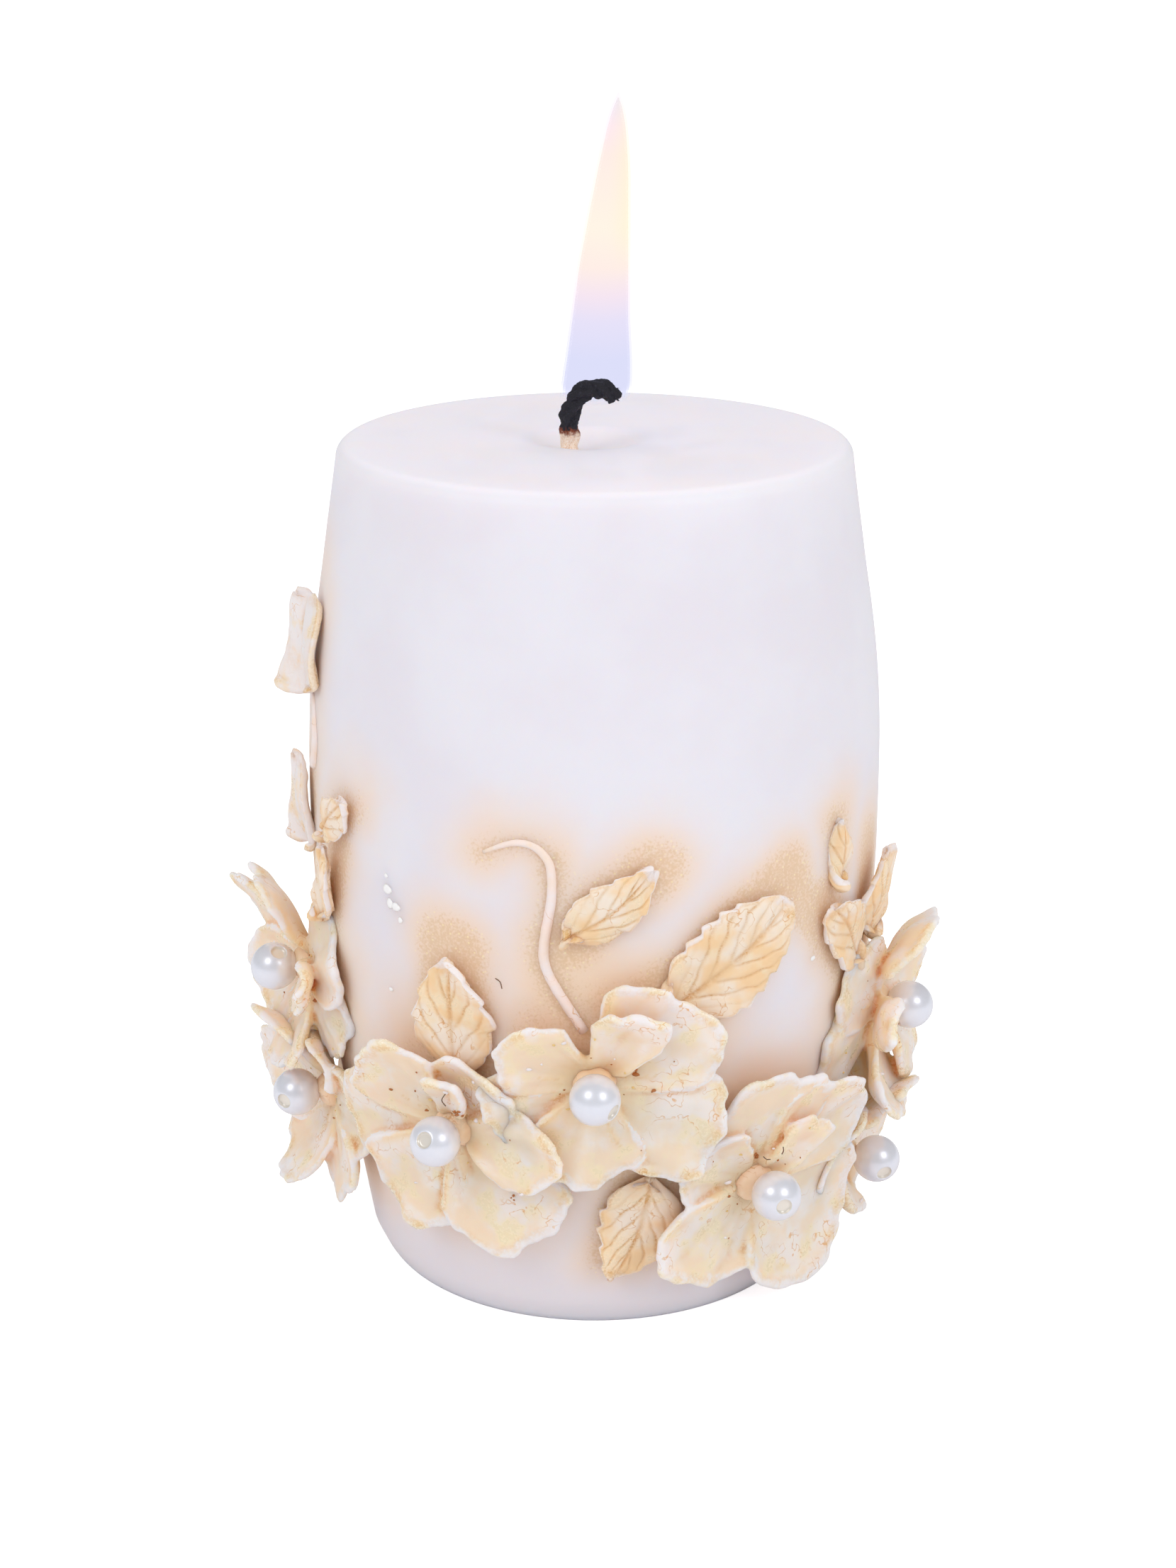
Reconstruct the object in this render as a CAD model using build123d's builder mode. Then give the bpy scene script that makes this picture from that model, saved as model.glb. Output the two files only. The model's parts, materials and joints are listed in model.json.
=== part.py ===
"""A cast pillar candle for a wedding table: a barrel-shaped wax body with a braided wick, a garland of
twelve wax flowers with a pearl in each, wax leaves and stems pressed on between them, and a flame.

All sizes are in millimetres. The origin is the centre of the base, +Z runs up the candle, and azimuth 0
is the front (-Y), counted to the right as seen by someone facing the front.
"""

import math
import os

from build123d import *

# The wax body, as radius against height, from the foot bevel to the top rim.
BODY_HEIGHT = 105.0
FOOT_RADIUS = 27.6
FOOT_BEVEL_HEIGHT = 3.4
FOOT_BEVEL_RADIUS = 29.2
TOP_RADIUS = 31.0
SIDE_WAYPOINTS = [(31.3, 16.0), (33.8, 31.0), (35.6, 56.0), (34.8, 79.0), (32.9, 92.0)]
RIM_FILLET = 1.8

# The melt pool left by an earlier burn, a shallow dish round the wick.
POOL_CENTRE_X = -1.0
POOL_RADIUS = 6.8
POOL_DEPTH = 1.0

# The wick stands off the axis, near the edge of the pool, and its free end curls over to the right.
WICK_X = -3.0
WICK_Y = -4.8
WICK_RADIUS = 1.2
WICK_FREE_HEIGHT = 5.3
WICK_CURL_REACH = 5.1
WICK_CURL_RISE = 1.3

# The steel tab that holds the wick's foot, cast in flush with the base.
TAB_RADIUS = 7.5
TAB_THICKNESS = 0.4
NECK_RADIUS = 1.8
NECK_HEIGHT = 3.0

# The flame, as (height, centre x, radius); it starts round the wick and ends in a point.
FLAME_SECTIONS = [
    (107.0, -2.4, 2.2),
    (109.0, -0.8, 3.7),
    (111.6, 0.2, 4.25),
    (116.0, 0.5, 3.9),
    (122.6, 0.9, 3.4),
    (129.1, 1.35, 2.9),
    (135.6, 2.0, 2.2),
    (140.4, 2.4, 1.6),
    (143.5, 2.6, 1.0),
]
FLAME_TIP = (2.7, 145.8)
FLAME_TIP_RADIUS = 0.15

# Flowers: five or six cupped wax petals round a wax seat, with a pearl on the seat.
PETAL_THICKNESS = 1.3
PETAL_LIFT = 2.0
PETAL_BOWL_RADIUS = 26.0
PETAL_WIDTH_SHARE = 0.82
PETAL_ROOT_RADIUS = 1.6
PETAL_GAP = 0.3
SEAT_RADIUS = 2.6
SEAT_FOOT_RADIUS = 5.0
SEAT_HEIGHT = 4.2
PEARL_RADIUS = 3.0
PEARL_LIFT = 6.6
PEARL_HOLE_RADIUS = 0.95
PEARL_HOLE_ROUND = 0.15

# name: azimuth, height, petals as (direction in degrees, reach), and which way the pearl's hole
# points, as (right, up) shares of its radius.
FLOWERS = {
    "front": (0, 36.5, [(148, 11.5), (210, 12), (266, 15), (335, 16), (42, 14.5)], (0.76, -0.29)),
    "front_left": (-28, 28.5, [(140, 12.5), (185, 13), (238, 14.5), (290, 16), (5, 10.5), (85, 10)], (0.0, 0.45)),
    "front_right": (34.5, 19.5, [(85, 15.5), (38, 15.5), (160, 11.5), (228, 14), (316, 12.5)], (-0.32, -0.03)),
    "right_upper": (79, 34, [(100, 12), (170, 12.5), (232, 12), (300, 10.5), (30, 12)], (0.6, 0.5)),
    "right_lower": (76, 13, [(75, 9), (150, 12), (215, 11), (285, 10), (5, 11.5)], (-0.82, -0.28)),
    "left_upper": (-80, 39, [(95, 12), (30, 14), (330, 13), (255, 9), (175, 12)], (-0.49, -0.85)),
    "left_lower": (-78, 22, [(60, 8), (350, 13), (290, 13), (225, 13), (160, 11)], (0.74, -0.07)),
    "back_right_lower": (112, 24, [(80, 12), (150, 11.5), (220, 13), (295, 13.5), (10, 12)], (0.1, 0.4)),
    "back_right_upper": (143, 37, [(60, 13), (130, 12.5), (205, 12), (275, 12.5), (345, 12)], (-0.5, 0.2)),
    "back_lower": (175, 22, [(95, 12.5), (165, 13), (240, 12.5), (300, 13), (25, 13.5)], (0.3, 0.3)),
    "back_left_upper": (-154, 37, [(50, 12.5), (120, 12), (190, 13.5), (262, 13), (335, 12.5)], (0.5, -0.2)),
    "back_left_lower": (-118, 26, [(75, 12), (150, 11.5), (215, 13), (285, 13), (5, 12)], (-0.2, 0.5)),
}

# Leaves lie on the wax: name: azimuth and height of the foot, direction, length, width, thickness.
LEAVES = {
    "leaf_on_tendril": (-6.5, 54.5, 40, 13.5, 7.0, 1.2),
    "leaf_front_right": (17.5, 46.0, 38, 15.5, 11.5, 1.5),
    "leaf_front_left": (-28.5, 36.5, 86, 14.0, 10.0, 1.5),
    "leaf_front_bottom": (12.0, 22.0, 254, 14.5, 9.0, 1.5),
    "bud_right": (54.0, 55.5, 93, 8.5, 3.6, 1.2),
    "leaf_right_tall": (69.0, 46.0, 84, 13.5, 7.0, 1.8),
    "leaf_right_wide": (66.0, 44.0, 137, 14.5, 7.5, 1.5),
    "leaf_left_top": (-70.0, 75.0, 84, 13.0, 9.0, 4.5),
    "leaf_left_upper": (-73.5, 55.5, 84, 12.0, 7.0, 3.5),
    "leaf_left_small": (-63.0, 60.5, 42, 8.5, 6.0, 1.8),
    "leaf_left_narrow": (-68.5, 47.0, 62, 13.0, 5.0, 1.8),
    "leaf_back_right": (118.0, 41.0, 80, 14.0, 9.5, 1.5),
    "leaf_back_middle": (168.0, 39.0, 100, 14.5, 10.0, 1.5),
    "leaf_back_left": (-127.0, 43.0, 115, 14.0, 9.0, 1.5),
    "leaf_back_bottom": (146.0, 21.0, 275, 13.0, 9.0, 1.5),
}

# Stems are narrow raised ribs of wax: (azimuth, height) of the points that they run through.
STEMS = {
    "tendril_front": [(-5.5, 46), (-9, 51), (-8, 58), (-9, 64), (-14.5, 65.5), (-20.5, 64)],
    "stem_left": [(-72, 68.4), (-71, 70.9), (-71.5, 72.9), (-70.5, 74.8)],
    "tendril_back": [(-160, 51), (-156, 57), (-157, 64), (-163, 68), (-169, 66.5)],
}
STEM_WIDTH = 1.2
STEM_THICKNESS = 0.9
RELIEF_DEPTH = 9.0


def side_points(offset):
    """The side's waypoints from the foot bevel to the rim, moved outwards by offset."""
    waypoints = [(FOOT_BEVEL_RADIUS, FOOT_BEVEL_HEIGHT), *SIDE_WAYPOINTS, (TOP_RADIUS, BODY_HEIGHT)]
    return [(radius + offset, height) for radius, height in waypoints]


def side_radius(height):
    """The wax body's radius at a height, straight between waypoints."""
    points = side_points(0)
    for (low_radius, low), (high_radius, high) in zip(points, points[1:]):
        if height <= high:
            return low_radius + (high_radius - low_radius) * (height - low) / (high - low)
    return TOP_RADIUS


def turned_body(offset):
    """The plain turned body with its side moved outwards by offset."""
    with BuildPart() as turned:
        with BuildSketch(Plane.XZ):
            with BuildLine():
                side = Spline(*side_points(offset))
                Polyline(side @ 0, (FOOT_RADIUS + offset, 0), (0, 0), (0, BODY_HEIGHT), side @ 1)
            make_face()
        revolve(axis=Axis.Z)
    return turned.part


def plane_on_side(azimuth, height, direction=0):
    """A plane touching the wax at that place: its z points outwards and its x runs in the given direction,
    where 0 is to the right and 90 is up."""
    around, turn = math.radians(azimuth), math.radians(direction)
    outwards = Vector(math.sin(around), -math.cos(around), 0)
    rightwards = Vector(math.cos(around), math.sin(around), 0)
    return Plane(
        origin=outwards * side_radius(height) + Vector(0, 0, height),
        x_dir=rightwards * math.cos(turn) + Vector(0, 0, math.sin(turn)),
        z_dir=outwards,
    )


def finish(part, name):
    """Labels a finished piece and writes it as a node."""
    part.label = name
    export_step(part, f"parts/{name}.step")


def make_candle_body():
    pool_sphere = (POOL_RADIUS**2 + POOL_DEPTH**2) / (2 * POOL_DEPTH)
    from_base = Align.CENTER, Align.CENTER, Align.MIN
    with BuildPart() as candle_body:
        add(core)
        fillet(candle_body.edges().group_by(Axis.Z)[-1], RIM_FILLET)
        with Locations((POOL_CENTRE_X, 0, BODY_HEIGHT - POOL_DEPTH + pool_sphere)):
            Sphere(pool_sphere, mode=Mode.SUBTRACT)
        with Locations((WICK_X, WICK_Y, 0)):
            Cylinder(WICK_RADIUS, BODY_HEIGHT, align=from_base, mode=Mode.SUBTRACT)
            Cylinder(TAB_RADIUS, TAB_THICKNESS, align=from_base, mode=Mode.SUBTRACT)
            Cylinder(NECK_RADIUS, NECK_HEIGHT, align=from_base, mode=Mode.SUBTRACT)
    finish(candle_body.part, "candle_body")


def make_wick():
    foot = Vector(WICK_X, WICK_Y, 0)
    bend = Vector(WICK_X, WICK_Y, BODY_HEIGHT - POOL_DEPTH + WICK_FREE_HEIGHT)
    tip = bend + Vector(WICK_CURL_REACH, 0, WICK_CURL_RISE)
    with BuildPart() as wick:
        with BuildLine():
            Line(foot, bend)
            TangentArc(bend, tip, tangent=(0, 0, 1))
        with BuildSketch(Plane(origin=foot, z_dir=(0, 0, 1))):
            Circle(WICK_RADIUS)
        sweep()
    finish(wick.part, "wick")
    return wick.part


def make_wick_tab():
    with BuildPart() as wick_tab:
        for radius, height in [(TAB_RADIUS, TAB_THICKNESS), (NECK_RADIUS, NECK_HEIGHT)]:
            with BuildSketch():
                with Locations((WICK_X, WICK_Y)):
                    Circle(radius)
            extrude(amount=height)
        with BuildSketch():
            with Locations((WICK_X, WICK_Y)):
                Circle(WICK_RADIUS)
        extrude(amount=NECK_HEIGHT, mode=Mode.SUBTRACT)
    finish(wick_tab.part, "wick_tab")


def make_flame(wick):
    tip_x, tip_height = FLAME_TIP
    with BuildPart() as flame:
        for height, centre_x, radius in FLAME_SECTIONS:
            with BuildSketch(Plane.XY.offset(height)):
                with Locations((centre_x, WICK_Y)):
                    Circle(radius)
        with BuildSketch(Plane.XY.offset(tip_height)):
            with Locations((tip_x, WICK_Y)):
                Circle(FLAME_TIP_RADIUS)
        loft()
        add(wick, mode=Mode.SUBTRACT)
    finish(flame.part, "flame")


def petal_outline(reach, direction):
    """A fan-shaped petal, narrow at the seat and round at its far end, turned to its direction."""
    half_width = reach * PETAL_WIDTH_SHARE / 2
    with BuildSketch() as outline:
        with Locations((reach - half_width, 0)):
            Circle(half_width)
        with Locations((SEAT_RADIUS, 0)):
            Circle(PETAL_ROOT_RADIUS)
        make_hull()
    return outline.sketch.rotate(Axis.Z, direction)


def gap_directions(petals):
    """The directions halfway between neighbouring petals."""
    directions = sorted(direction % 360 for direction, _ in petals)
    following = [*directions[1:], directions[0] + 360]
    return [(first + second) / 2 for first, second in zip(directions, following)]


def make_petals(name, place, petals, earlier):
    outlines = [petal_outline(reach, direction) for direction, reach in petals]
    slot_length = 2 * PETAL_BOWL_RADIUS
    with BuildPart() as flower_petals:
        with BuildSketch(place):
            for outline in outlines:
                add(outline)
            Circle(SEAT_RADIUS, mode=Mode.SUBTRACT)
            for direction in gap_directions(petals):
                with PolarLocations(slot_length / 2, 1, start_angle=direction):
                    Rectangle(slot_length, PETAL_GAP, mode=Mode.SUBTRACT)
        extrude(amount=PETAL_BOWL_RADIUS / 2)
        with Locations(place.offset(PETAL_LIFT + PETAL_BOWL_RADIUS).location):
            Sphere(PETAL_BOWL_RADIUS, mode=Mode.INTERSECT)
            Sphere(PETAL_BOWL_RADIUS - PETAL_THICKNESS, mode=Mode.SUBTRACT)
        for neighbour in earlier:
            add(neighbour, mode=Mode.SUBTRACT)
    finish(flower_petals.part, f"{name}_petals")
    return flower_petals.part


def make_seat(name, place, pearl_centre):
    foot_sink = SEAT_FOOT_RADIUS - SEAT_RADIUS
    with BuildPart() as seat:
        with BuildSketch(place.offset(-foot_sink)):
            Circle(SEAT_FOOT_RADIUS)
        with BuildSketch(place.offset(PETAL_LIFT)):
            Circle(SEAT_RADIUS)
        loft()
        with BuildSketch(place.offset(PETAL_LIFT)):
            Circle(SEAT_RADIUS)
        extrude(amount=SEAT_HEIGHT - PETAL_LIFT)
        with Locations(pearl_centre.location):
            Sphere(PEARL_RADIUS, mode=Mode.SUBTRACT)
        add(core, mode=Mode.SUBTRACT)
    finish(seat.part, f"{name}_seat")


def make_pearl(name, pearl_centre, hole_tilt):
    right, up = hole_tilt
    hole_axis = Vector(right, up, math.sqrt(1 - right**2 - up**2))
    axis_end = pearl_centre.from_local_coords(hole_axis)
    hole_plane = Plane(origin=pearl_centre.origin, z_dir=axis_end - pearl_centre.origin)
    half_hole = math.sqrt(PEARL_RADIUS**2 - PEARL_HOLE_RADIUS**2)
    with BuildPart() as pearl:
        with BuildSketch(Plane(origin=hole_plane.origin, x_dir=hole_plane.x_dir, z_dir=hole_plane.y_dir)):
            with BuildLine():
                ThreePointArc((PEARL_HOLE_RADIUS, -half_hole), (PEARL_RADIUS, 0), (PEARL_HOLE_RADIUS, half_hole))
                Line((PEARL_HOLE_RADIUS, half_hole), (PEARL_HOLE_RADIUS, -half_hole))
            make_face()
            fillet(vertices(), PEARL_HOLE_ROUND)
        revolve(axis=Axis(hole_plane.origin, hole_plane.z_dir))
    finish(pearl.part, f"{name}_pearl")


def make_flowers():
    earlier = []
    for name, (azimuth, height, petals, hole_tilt) in FLOWERS.items():
        place = plane_on_side(azimuth, height)
        pearl_centre = place.offset(PEARL_LIFT)
        flower = f"flower_{name}"
        reached = [part for part, at in earlier if (at - place.origin).length < 2 * PETAL_BOWL_RADIUS / 1.4]
        made = make_petals(flower, place, petals, reached)
        earlier.append((made, place.origin))
        make_seat(flower, place, pearl_centre)
        make_pearl(flower, pearl_centre, hole_tilt)


def make_leaf(name, azimuth, height, direction, length, width, thickness):
    place = plane_on_side(azimuth, height, direction)
    shell = turned_body(thickness)
    with BuildPart() as leaf:
        with BuildSketch(place):
            with BuildLine():
                ThreePointArc((0, 0), (0.45 * length, width / 2), (length, 0))
                ThreePointArc((length, 0), (0.45 * length, -width / 2), (0, 0))
            make_face()
        extrude(amount=RELIEF_DEPTH, both=True)
        add(shell, mode=Mode.INTERSECT)
        add(core, mode=Mode.SUBTRACT)
    finish(leaf.part, name)


def make_stem(name, route):
    middle_azimuth = sum(azimuth for azimuth, _ in route) / len(route)
    place = plane_on_side(middle_azimuth, route[0][1])
    points = [place.to_local_coords(plane_on_side(*point).origin) for point in route]
    shell = turned_body(STEM_THICKNESS)
    with BuildPart() as stem:
        with BuildSketch(place):
            with BuildLine():
                Spline(*[(point.X, point.Y) for point in points])
            trace(line_width=STEM_WIDTH)
        extrude(amount=RELIEF_DEPTH, both=True)
        add(shell, mode=Mode.INTERSECT)
        add(core, mode=Mode.SUBTRACT)
    finish(stem.part, name)


os.makedirs("parts", exist_ok=True)
core = turned_body(0)
make_candle_body()
make_flame(make_wick())
make_wick_tab()
make_flowers()
for leaf_name, leaf_sizes in LEAVES.items():
    make_leaf(leaf_name, *leaf_sizes)
for stem_name, stem_route in STEMS.items():
    make_stem(stem_name, stem_route)
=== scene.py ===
"""The looks of a cast pillar candle with a garland of pressed wax flowers, pearls, leaves and a flame.

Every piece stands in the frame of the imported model: metres, +Z up the candle, its foot at the origin
and its front towards -Y. Azimuths are counted from the front to the right, in degrees.
"""

import functools
import json
import math
import random

import bpy
import numpy as np
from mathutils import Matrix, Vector, kdtree, noise

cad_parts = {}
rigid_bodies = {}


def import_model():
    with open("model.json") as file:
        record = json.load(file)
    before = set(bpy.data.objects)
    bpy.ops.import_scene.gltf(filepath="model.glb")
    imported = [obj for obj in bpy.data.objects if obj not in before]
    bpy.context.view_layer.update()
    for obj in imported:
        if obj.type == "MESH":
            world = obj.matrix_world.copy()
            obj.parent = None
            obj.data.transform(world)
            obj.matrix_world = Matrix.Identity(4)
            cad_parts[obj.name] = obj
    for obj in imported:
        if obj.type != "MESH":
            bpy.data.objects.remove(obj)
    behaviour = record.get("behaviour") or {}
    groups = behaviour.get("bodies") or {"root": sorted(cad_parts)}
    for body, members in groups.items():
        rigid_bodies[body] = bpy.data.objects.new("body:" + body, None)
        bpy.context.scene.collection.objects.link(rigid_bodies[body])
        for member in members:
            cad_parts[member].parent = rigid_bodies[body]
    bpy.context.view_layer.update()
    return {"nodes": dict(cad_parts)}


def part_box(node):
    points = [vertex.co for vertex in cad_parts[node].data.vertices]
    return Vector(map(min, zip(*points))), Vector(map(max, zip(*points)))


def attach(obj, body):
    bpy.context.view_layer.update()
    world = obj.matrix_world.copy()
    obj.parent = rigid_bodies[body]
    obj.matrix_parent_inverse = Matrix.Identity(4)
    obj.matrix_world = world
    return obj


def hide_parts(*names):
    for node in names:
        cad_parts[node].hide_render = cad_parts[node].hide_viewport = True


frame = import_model()

bl_info = {
    "name": "Wedding pillar candle",
    "version": (1, 0, 0),
    "blender": (4, 5, 0),
    "location": "View3D > Sidebar > Candle",
    "description": "Casts, presses and dusts a flowered pillar candle and lights it",
    "category": "Add Mesh",
}

MM = 0.001
SMOOTH = {"interpolation_type": "SMOOTHSTEP"}

# Lengths from here on are in millimetres, apart from the stage's, and angles are in degrees.
#
# The wax body's side, as height and radius, from the base to the top.
SIDE_HEIGHTS = [0.0, 3.4, 16.0, 31.0, 56.0, 79.0, 92.0, 105.0]
SIDE_RADII = [27.6, 29.2, 31.3, 33.8, 35.6, 34.8, 32.9, 31.0]
BODY_HEIGHT = SIDE_HEIGHTS[-1]
RIM_ROUNDING = 1.8
POOL_X, POOL_RADIUS, POOL_DEPTH = -1.0, 6.8, 0.9
WICK_X, WICK_Y = -3.0, -4.8

# The garland's middle height, the wax's rough radius there, and how far a flower covers the wax.
GARLAND_HEIGHT, GARLAND_RADIUS, FLOWER_REACH = 35.0, 34.0, 10.0

# How finely each flower's petals and the wick's burnt end are melted into one skin.
PETAL_VOXEL, CHAR_VOXEL = 0.32, 0.11

# How far off the wax a crumb starts to fall, and where it stays if it meets no petal.
DROP_HEIGHT, REST_HEIGHT = 14.0, 4.5

# The wick stands straight up to a height and then curls over for a length, in part of an ellipse. Its
# strands wind round its middle line at a radius and a pitch.
WICK_STRAIGHT, WICK_CURL = 108.0, 7.6
CURL_WIDE, CURL_TALL = 3.15, 3.95
STRANDS, STRAYS = 4, 11
BRAID_RADIUS, BRAID_PITCH, BRAID_LENGTH = 0.66, 5.2, 116

# The flame's shells: how far each lies inside the outline, and how dense it is.
FLAME_SHELLS = [(0.0, 0.45), (0.3, 0.6), (0.6, 0.97)]

# The stage, in metres, with the camera's dip in degrees and its lens and sensor in millimetres. Each
# soft box has its name, place, width and share of the power.
TABLE_RADIUS = 6.0
SOFT_BOXES = [
    ("soft_box_left", (-0.36, -0.45, 0.52), 0.3, 1.0),
    ("soft_box_right", (0.40, -0.44, 0.44), 0.3, 0.95),
]
SOFT_BOX_COLOUR = (1.0, 0.985, 0.99)
SOFT_BOX_AIM = (0, 0, 0.055)
CAMERA_PLACE = (-0.0008, -0.320, 0.1705)
CAMERA_DIP = 18.92
CAMERA_LENS, CAMERA_SENSOR = 61.6, 36

# Each flower: which way its pearl's hole points, as (right, up) shares of the pearl's radius, and its
# petals: direction, reach, the half angle that it fans over, how far it cups off the wax by its far
# edge, and how far the whole petal is raised, to lie over its neighbours.
FLOWERS = {
    "front": ((0.76, -0.29), [
        (152, 11.2, 42, 2.8, 0.5), (206, 12.8, 38, 2.4, 0.0), (262, 13.4, 44, 2.4, 0.5),
        (328, 15.8, 44, 2.6, 0.1), (40, 15.0, 48, 2.8, -0.2), (66, 11.5, 30, 3.2, 1.2),
    ]),
    "front_left": ((0.0, 0.45), [
        (140, 13.0, 40, 3.0, 0.5), (190, 15.8, 40, 1.6, 0.0), (240, 16.0, 40, 1.6, 0.4),
        (298, 17.2, 40, 2.2, 0.0), (352, 12.5, 40, 3.0, 1.0), (60, 10.5, 46, 2.4, -0.3),
        (84, 8.0, 24, 3.0, 1.3),
    ]),
    "front_right": ((-0.32, -0.03), [
        (86, 16.0, 42, 2.6, 0.1), (38, 16.6, 42, 2.6, 0.3), (150, 11.0, 42, 2.0, 0.0),
        (226, 14.2, 44, 2.2, 0.4), (318, 18.0, 50, 3.2, 0.0), (50, 10.5, 24, 2.6, 1.6),
    ]),
    "right_upper": ((0.6, 0.5), [
        (98, 12.5, 40, 5.2, 0.3), (146, 15.5, 36, -0.6, 0.2), (200, 15.5, 40, -1.2, -0.2),
        (258, 14.0, 40, 5.6, 0.4), (314, 13.3, 42, 4.6, 2.8), (25, 11.5, 42, 8.0, 0.3),
        (172, 11.5, 20, 3.4, 1.8),
    ]),
    "right_lower": ((-0.82, -0.28), [
        (82, 10.5, 42, 6.4, 0.4), (150, 12.5, 42, 2.0, 0.2), (215, 7.0, 40, 0.8, 0.0),
        (288, 8.0, 42, 3.2, 0.2), (10, 11.5, 44, 7.0, 0.0),
    ]),
    "left_upper": ((-0.49, -0.85), [
        (28, 14.0, 42, -0.9, 0.0), (330, 13.4, 38, -0.8, -0.2), (266, 14.0, 38, 6.6, 0.4),
        (215, 13.5, 42, 8.4, 0.2), (155, 12.5, 40, 9.0, 0.3), (98, 12.7, 34, 5.2, 0.8),
        (2, 10.5, 22, 2.4, 1.4),
    ]),
    "left_lower": ((0.74, -0.07), [
        (62, 9.8, 38, 1.0, 0.3), (8, 13.6, 36, 0.0, 0.0), (302, 13.6, 38, 2.4, 0.4),
        (250, 12.7, 40, 9.0, 0.0), (190, 12.5, 44, 9.4, 0.3), (125, 10.5, 42, 7.6, 0.0),
    ]),
    "back_right_lower": ((0.1, 0.4), [
        (80, 13.0, 42, 3.2, 0.5), (150, 12.5, 42, 3.0, 0.0), (220, 14.0, 42, 2.6, 0.5),
        (292, 14.5, 42, 3.4, 0.1), (8, 13.0, 44, 2.8, 0.2), (104, 9.5, 26, 3.2, 1.4),
    ]),
    "back_right_upper": ((-0.5, 0.2), [
        (60, 14.0, 44, 3.4, 0.4), (130, 13.5, 42, 2.6, 0.0), (203, 13.0, 42, 3.2, 0.5),
        (275, 13.5, 42, 2.6, 0.0), (345, 13.0, 42, 3.6, 0.6),
    ]),
    "back_lower": ((0.3, 0.3), [
        (95, 13.5, 42, 2.8, 0.4), (165, 14.0, 40, 3.4, 0.0), (236, 13.5, 42, 2.4, 0.5),
        (302, 14.0, 40, 2.8, 0.0), (25, 14.5, 44, 3.2, 0.3), (320, 10.0, 24, 2.8, 1.5),
    ]),
    "back_left_upper": ((0.5, -0.2), [
        (50, 13.5, 42, 3.0, 0.3), (120, 13.0, 42, 3.6, 0.6), (192, 14.5, 42, 2.6, 0.0),
        (264, 14.0, 42, 3.2, 0.5), (336, 13.5, 42, 2.6, 0.0),
    ]),
    "back_left_lower": ((-0.2, 0.5), [
        (75, 13.0, 44, 3.4, 0.4), (150, 12.5, 42, 2.6, 0.0), (218, 14.0, 42, 3.0, 0.5),
        (290, 14.0, 42, 2.4, 0.1), (5, 13.0, 44, 3.4, 0.3), (188, 9.5, 24, 3.2, 1.4),
    ]),
}

# Each leaf: azimuth and height of its foot, direction, length, width, how far it stands off the wax at
# its tip and along its left and right edges, and the number of teeth on a side. A leaf with no teeth is
# a plain tile with a rounded tip.
LEAVES = {
    "leaf_on_tendril": (-6.5, 54.3, 39, 13.5, 7.4, (0.2, 0.2, 0.0), 4),
    "leaf_front_right": (13.0, 44.6, 40, 19.5, 13.0, (0.6, 0.2, 0.8), 6),
    "leaf_front_left": (-27.5, 34.0, 90, 16.4, 11.0, (0.8, 0.2, 0.6), 4),
    "leaf_front_bottom": (11.5, 23.5, 256, 16.0, 10.5, (0.4, 0.3, 0.3), 5),
    "bud_right": (54.0, 55.5, 93, 8.5, 4.2, (-0.3, -0.3, -0.3), 3),
    "leaf_right_tall": (70.0, 45.0, 88, 12.0, 9.0, (1.4, 0.2, 1.0), 4),
    "leaf_right_wide": (64.0, 43.0, 132, 14.5, 8.5, (0.6, 0.3, 0.6), 4),
    "leaf_left_top": (-78.0, 75.0, 90, 12.8, 10.0, (0.2, 2.5, 0.1), 0),
    "leaf_left_upper": (-80.0, 55.2, 88, 12.0, 7.5, (0.2, 1.5, 0.2), 0),
    "leaf_left_small": (-63.5, 60.5, 42, 8.5, 6.0, (0.6, 0.4, 0.4), 3),
    "leaf_left_narrow": (-67.5, 47.5, 68, 13.0, 6.0, (0.8, 0.6, 0.6), 3),
    "leaf_back_right": (118.0, 41.0, 80, 14.0, 9.5, (0.8, 0.4, 0.4), 5),
    "leaf_back_middle": (168.0, 39.0, 100, 14.5, 10.0, (0.8, 0.2, 0.6), 5),
    "leaf_back_left": (-127.0, 43.0, 115, 14.0, 9.0, (0.8, 0.4, 0.2), 4),
    "leaf_back_bottom": (146.0, 21.0, 275, 13.0, 9.0, (0.6, 0.3, 0.3), 5),
}

# Each stem: (azimuth, height) of the points that guide it, from its thick end to its thin end.
STEMS = {
    "tendril_front": [
        (-2, 42.5), (-6, 46.5), (-9.5, 50.5), (-9.6, 53.5), (-8.2, 57.8), (-7.8, 61), (-8.4, 64),
        (-12, 65.7), (-16.5, 65.5), (-21, 64),
    ],
    "stem_left": [
        (-74, 66.6), (-72, 69), (-73, 72), (-76, 75.4),
    ],
    "tendril_back": [
        (-160, 51), (-157, 54), (-156, 58), (-157, 64), (-160, 67.2), (-164, 68), (-169, 66.5),
    ],
}

# White scrapings on the wax: azimuth, height, and half their width and height.
SCRAPINGS = [
    (-43.2, 56.6, 0.8, 0.7), (-42.6, 54.9, 0.55, 0.75), (-41.0, 54.7, 0.75, 0.6),
    (-40.0, 53.2, 0.35, 0.45), (-43.4, 58.3, 0.3, 0.3), (-43.8, 43.6, 0.35, 0.3),
    (47.6, 47.0, 0.6, 0.42), (121.0, 60.5, 0.6, 0.4),
]

# Stray fibres: azimuth, height, lift off the wax, direction, length and bend.
HAIRS = [
    (-19.0, 48.5, 0.05, -50, 1.4, 0.25), (44.5, 24.4, 5.4, 38, 2.6, 0.3),
    (-25.5, 33.6, 6.2, 100, 1.6, 0.4), (33.0, 24.6, 5.6, 150, 1.2, 0.15),
    (35.5, 24.8, 5.6, 80, 1.0, -0.15),
]

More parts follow.
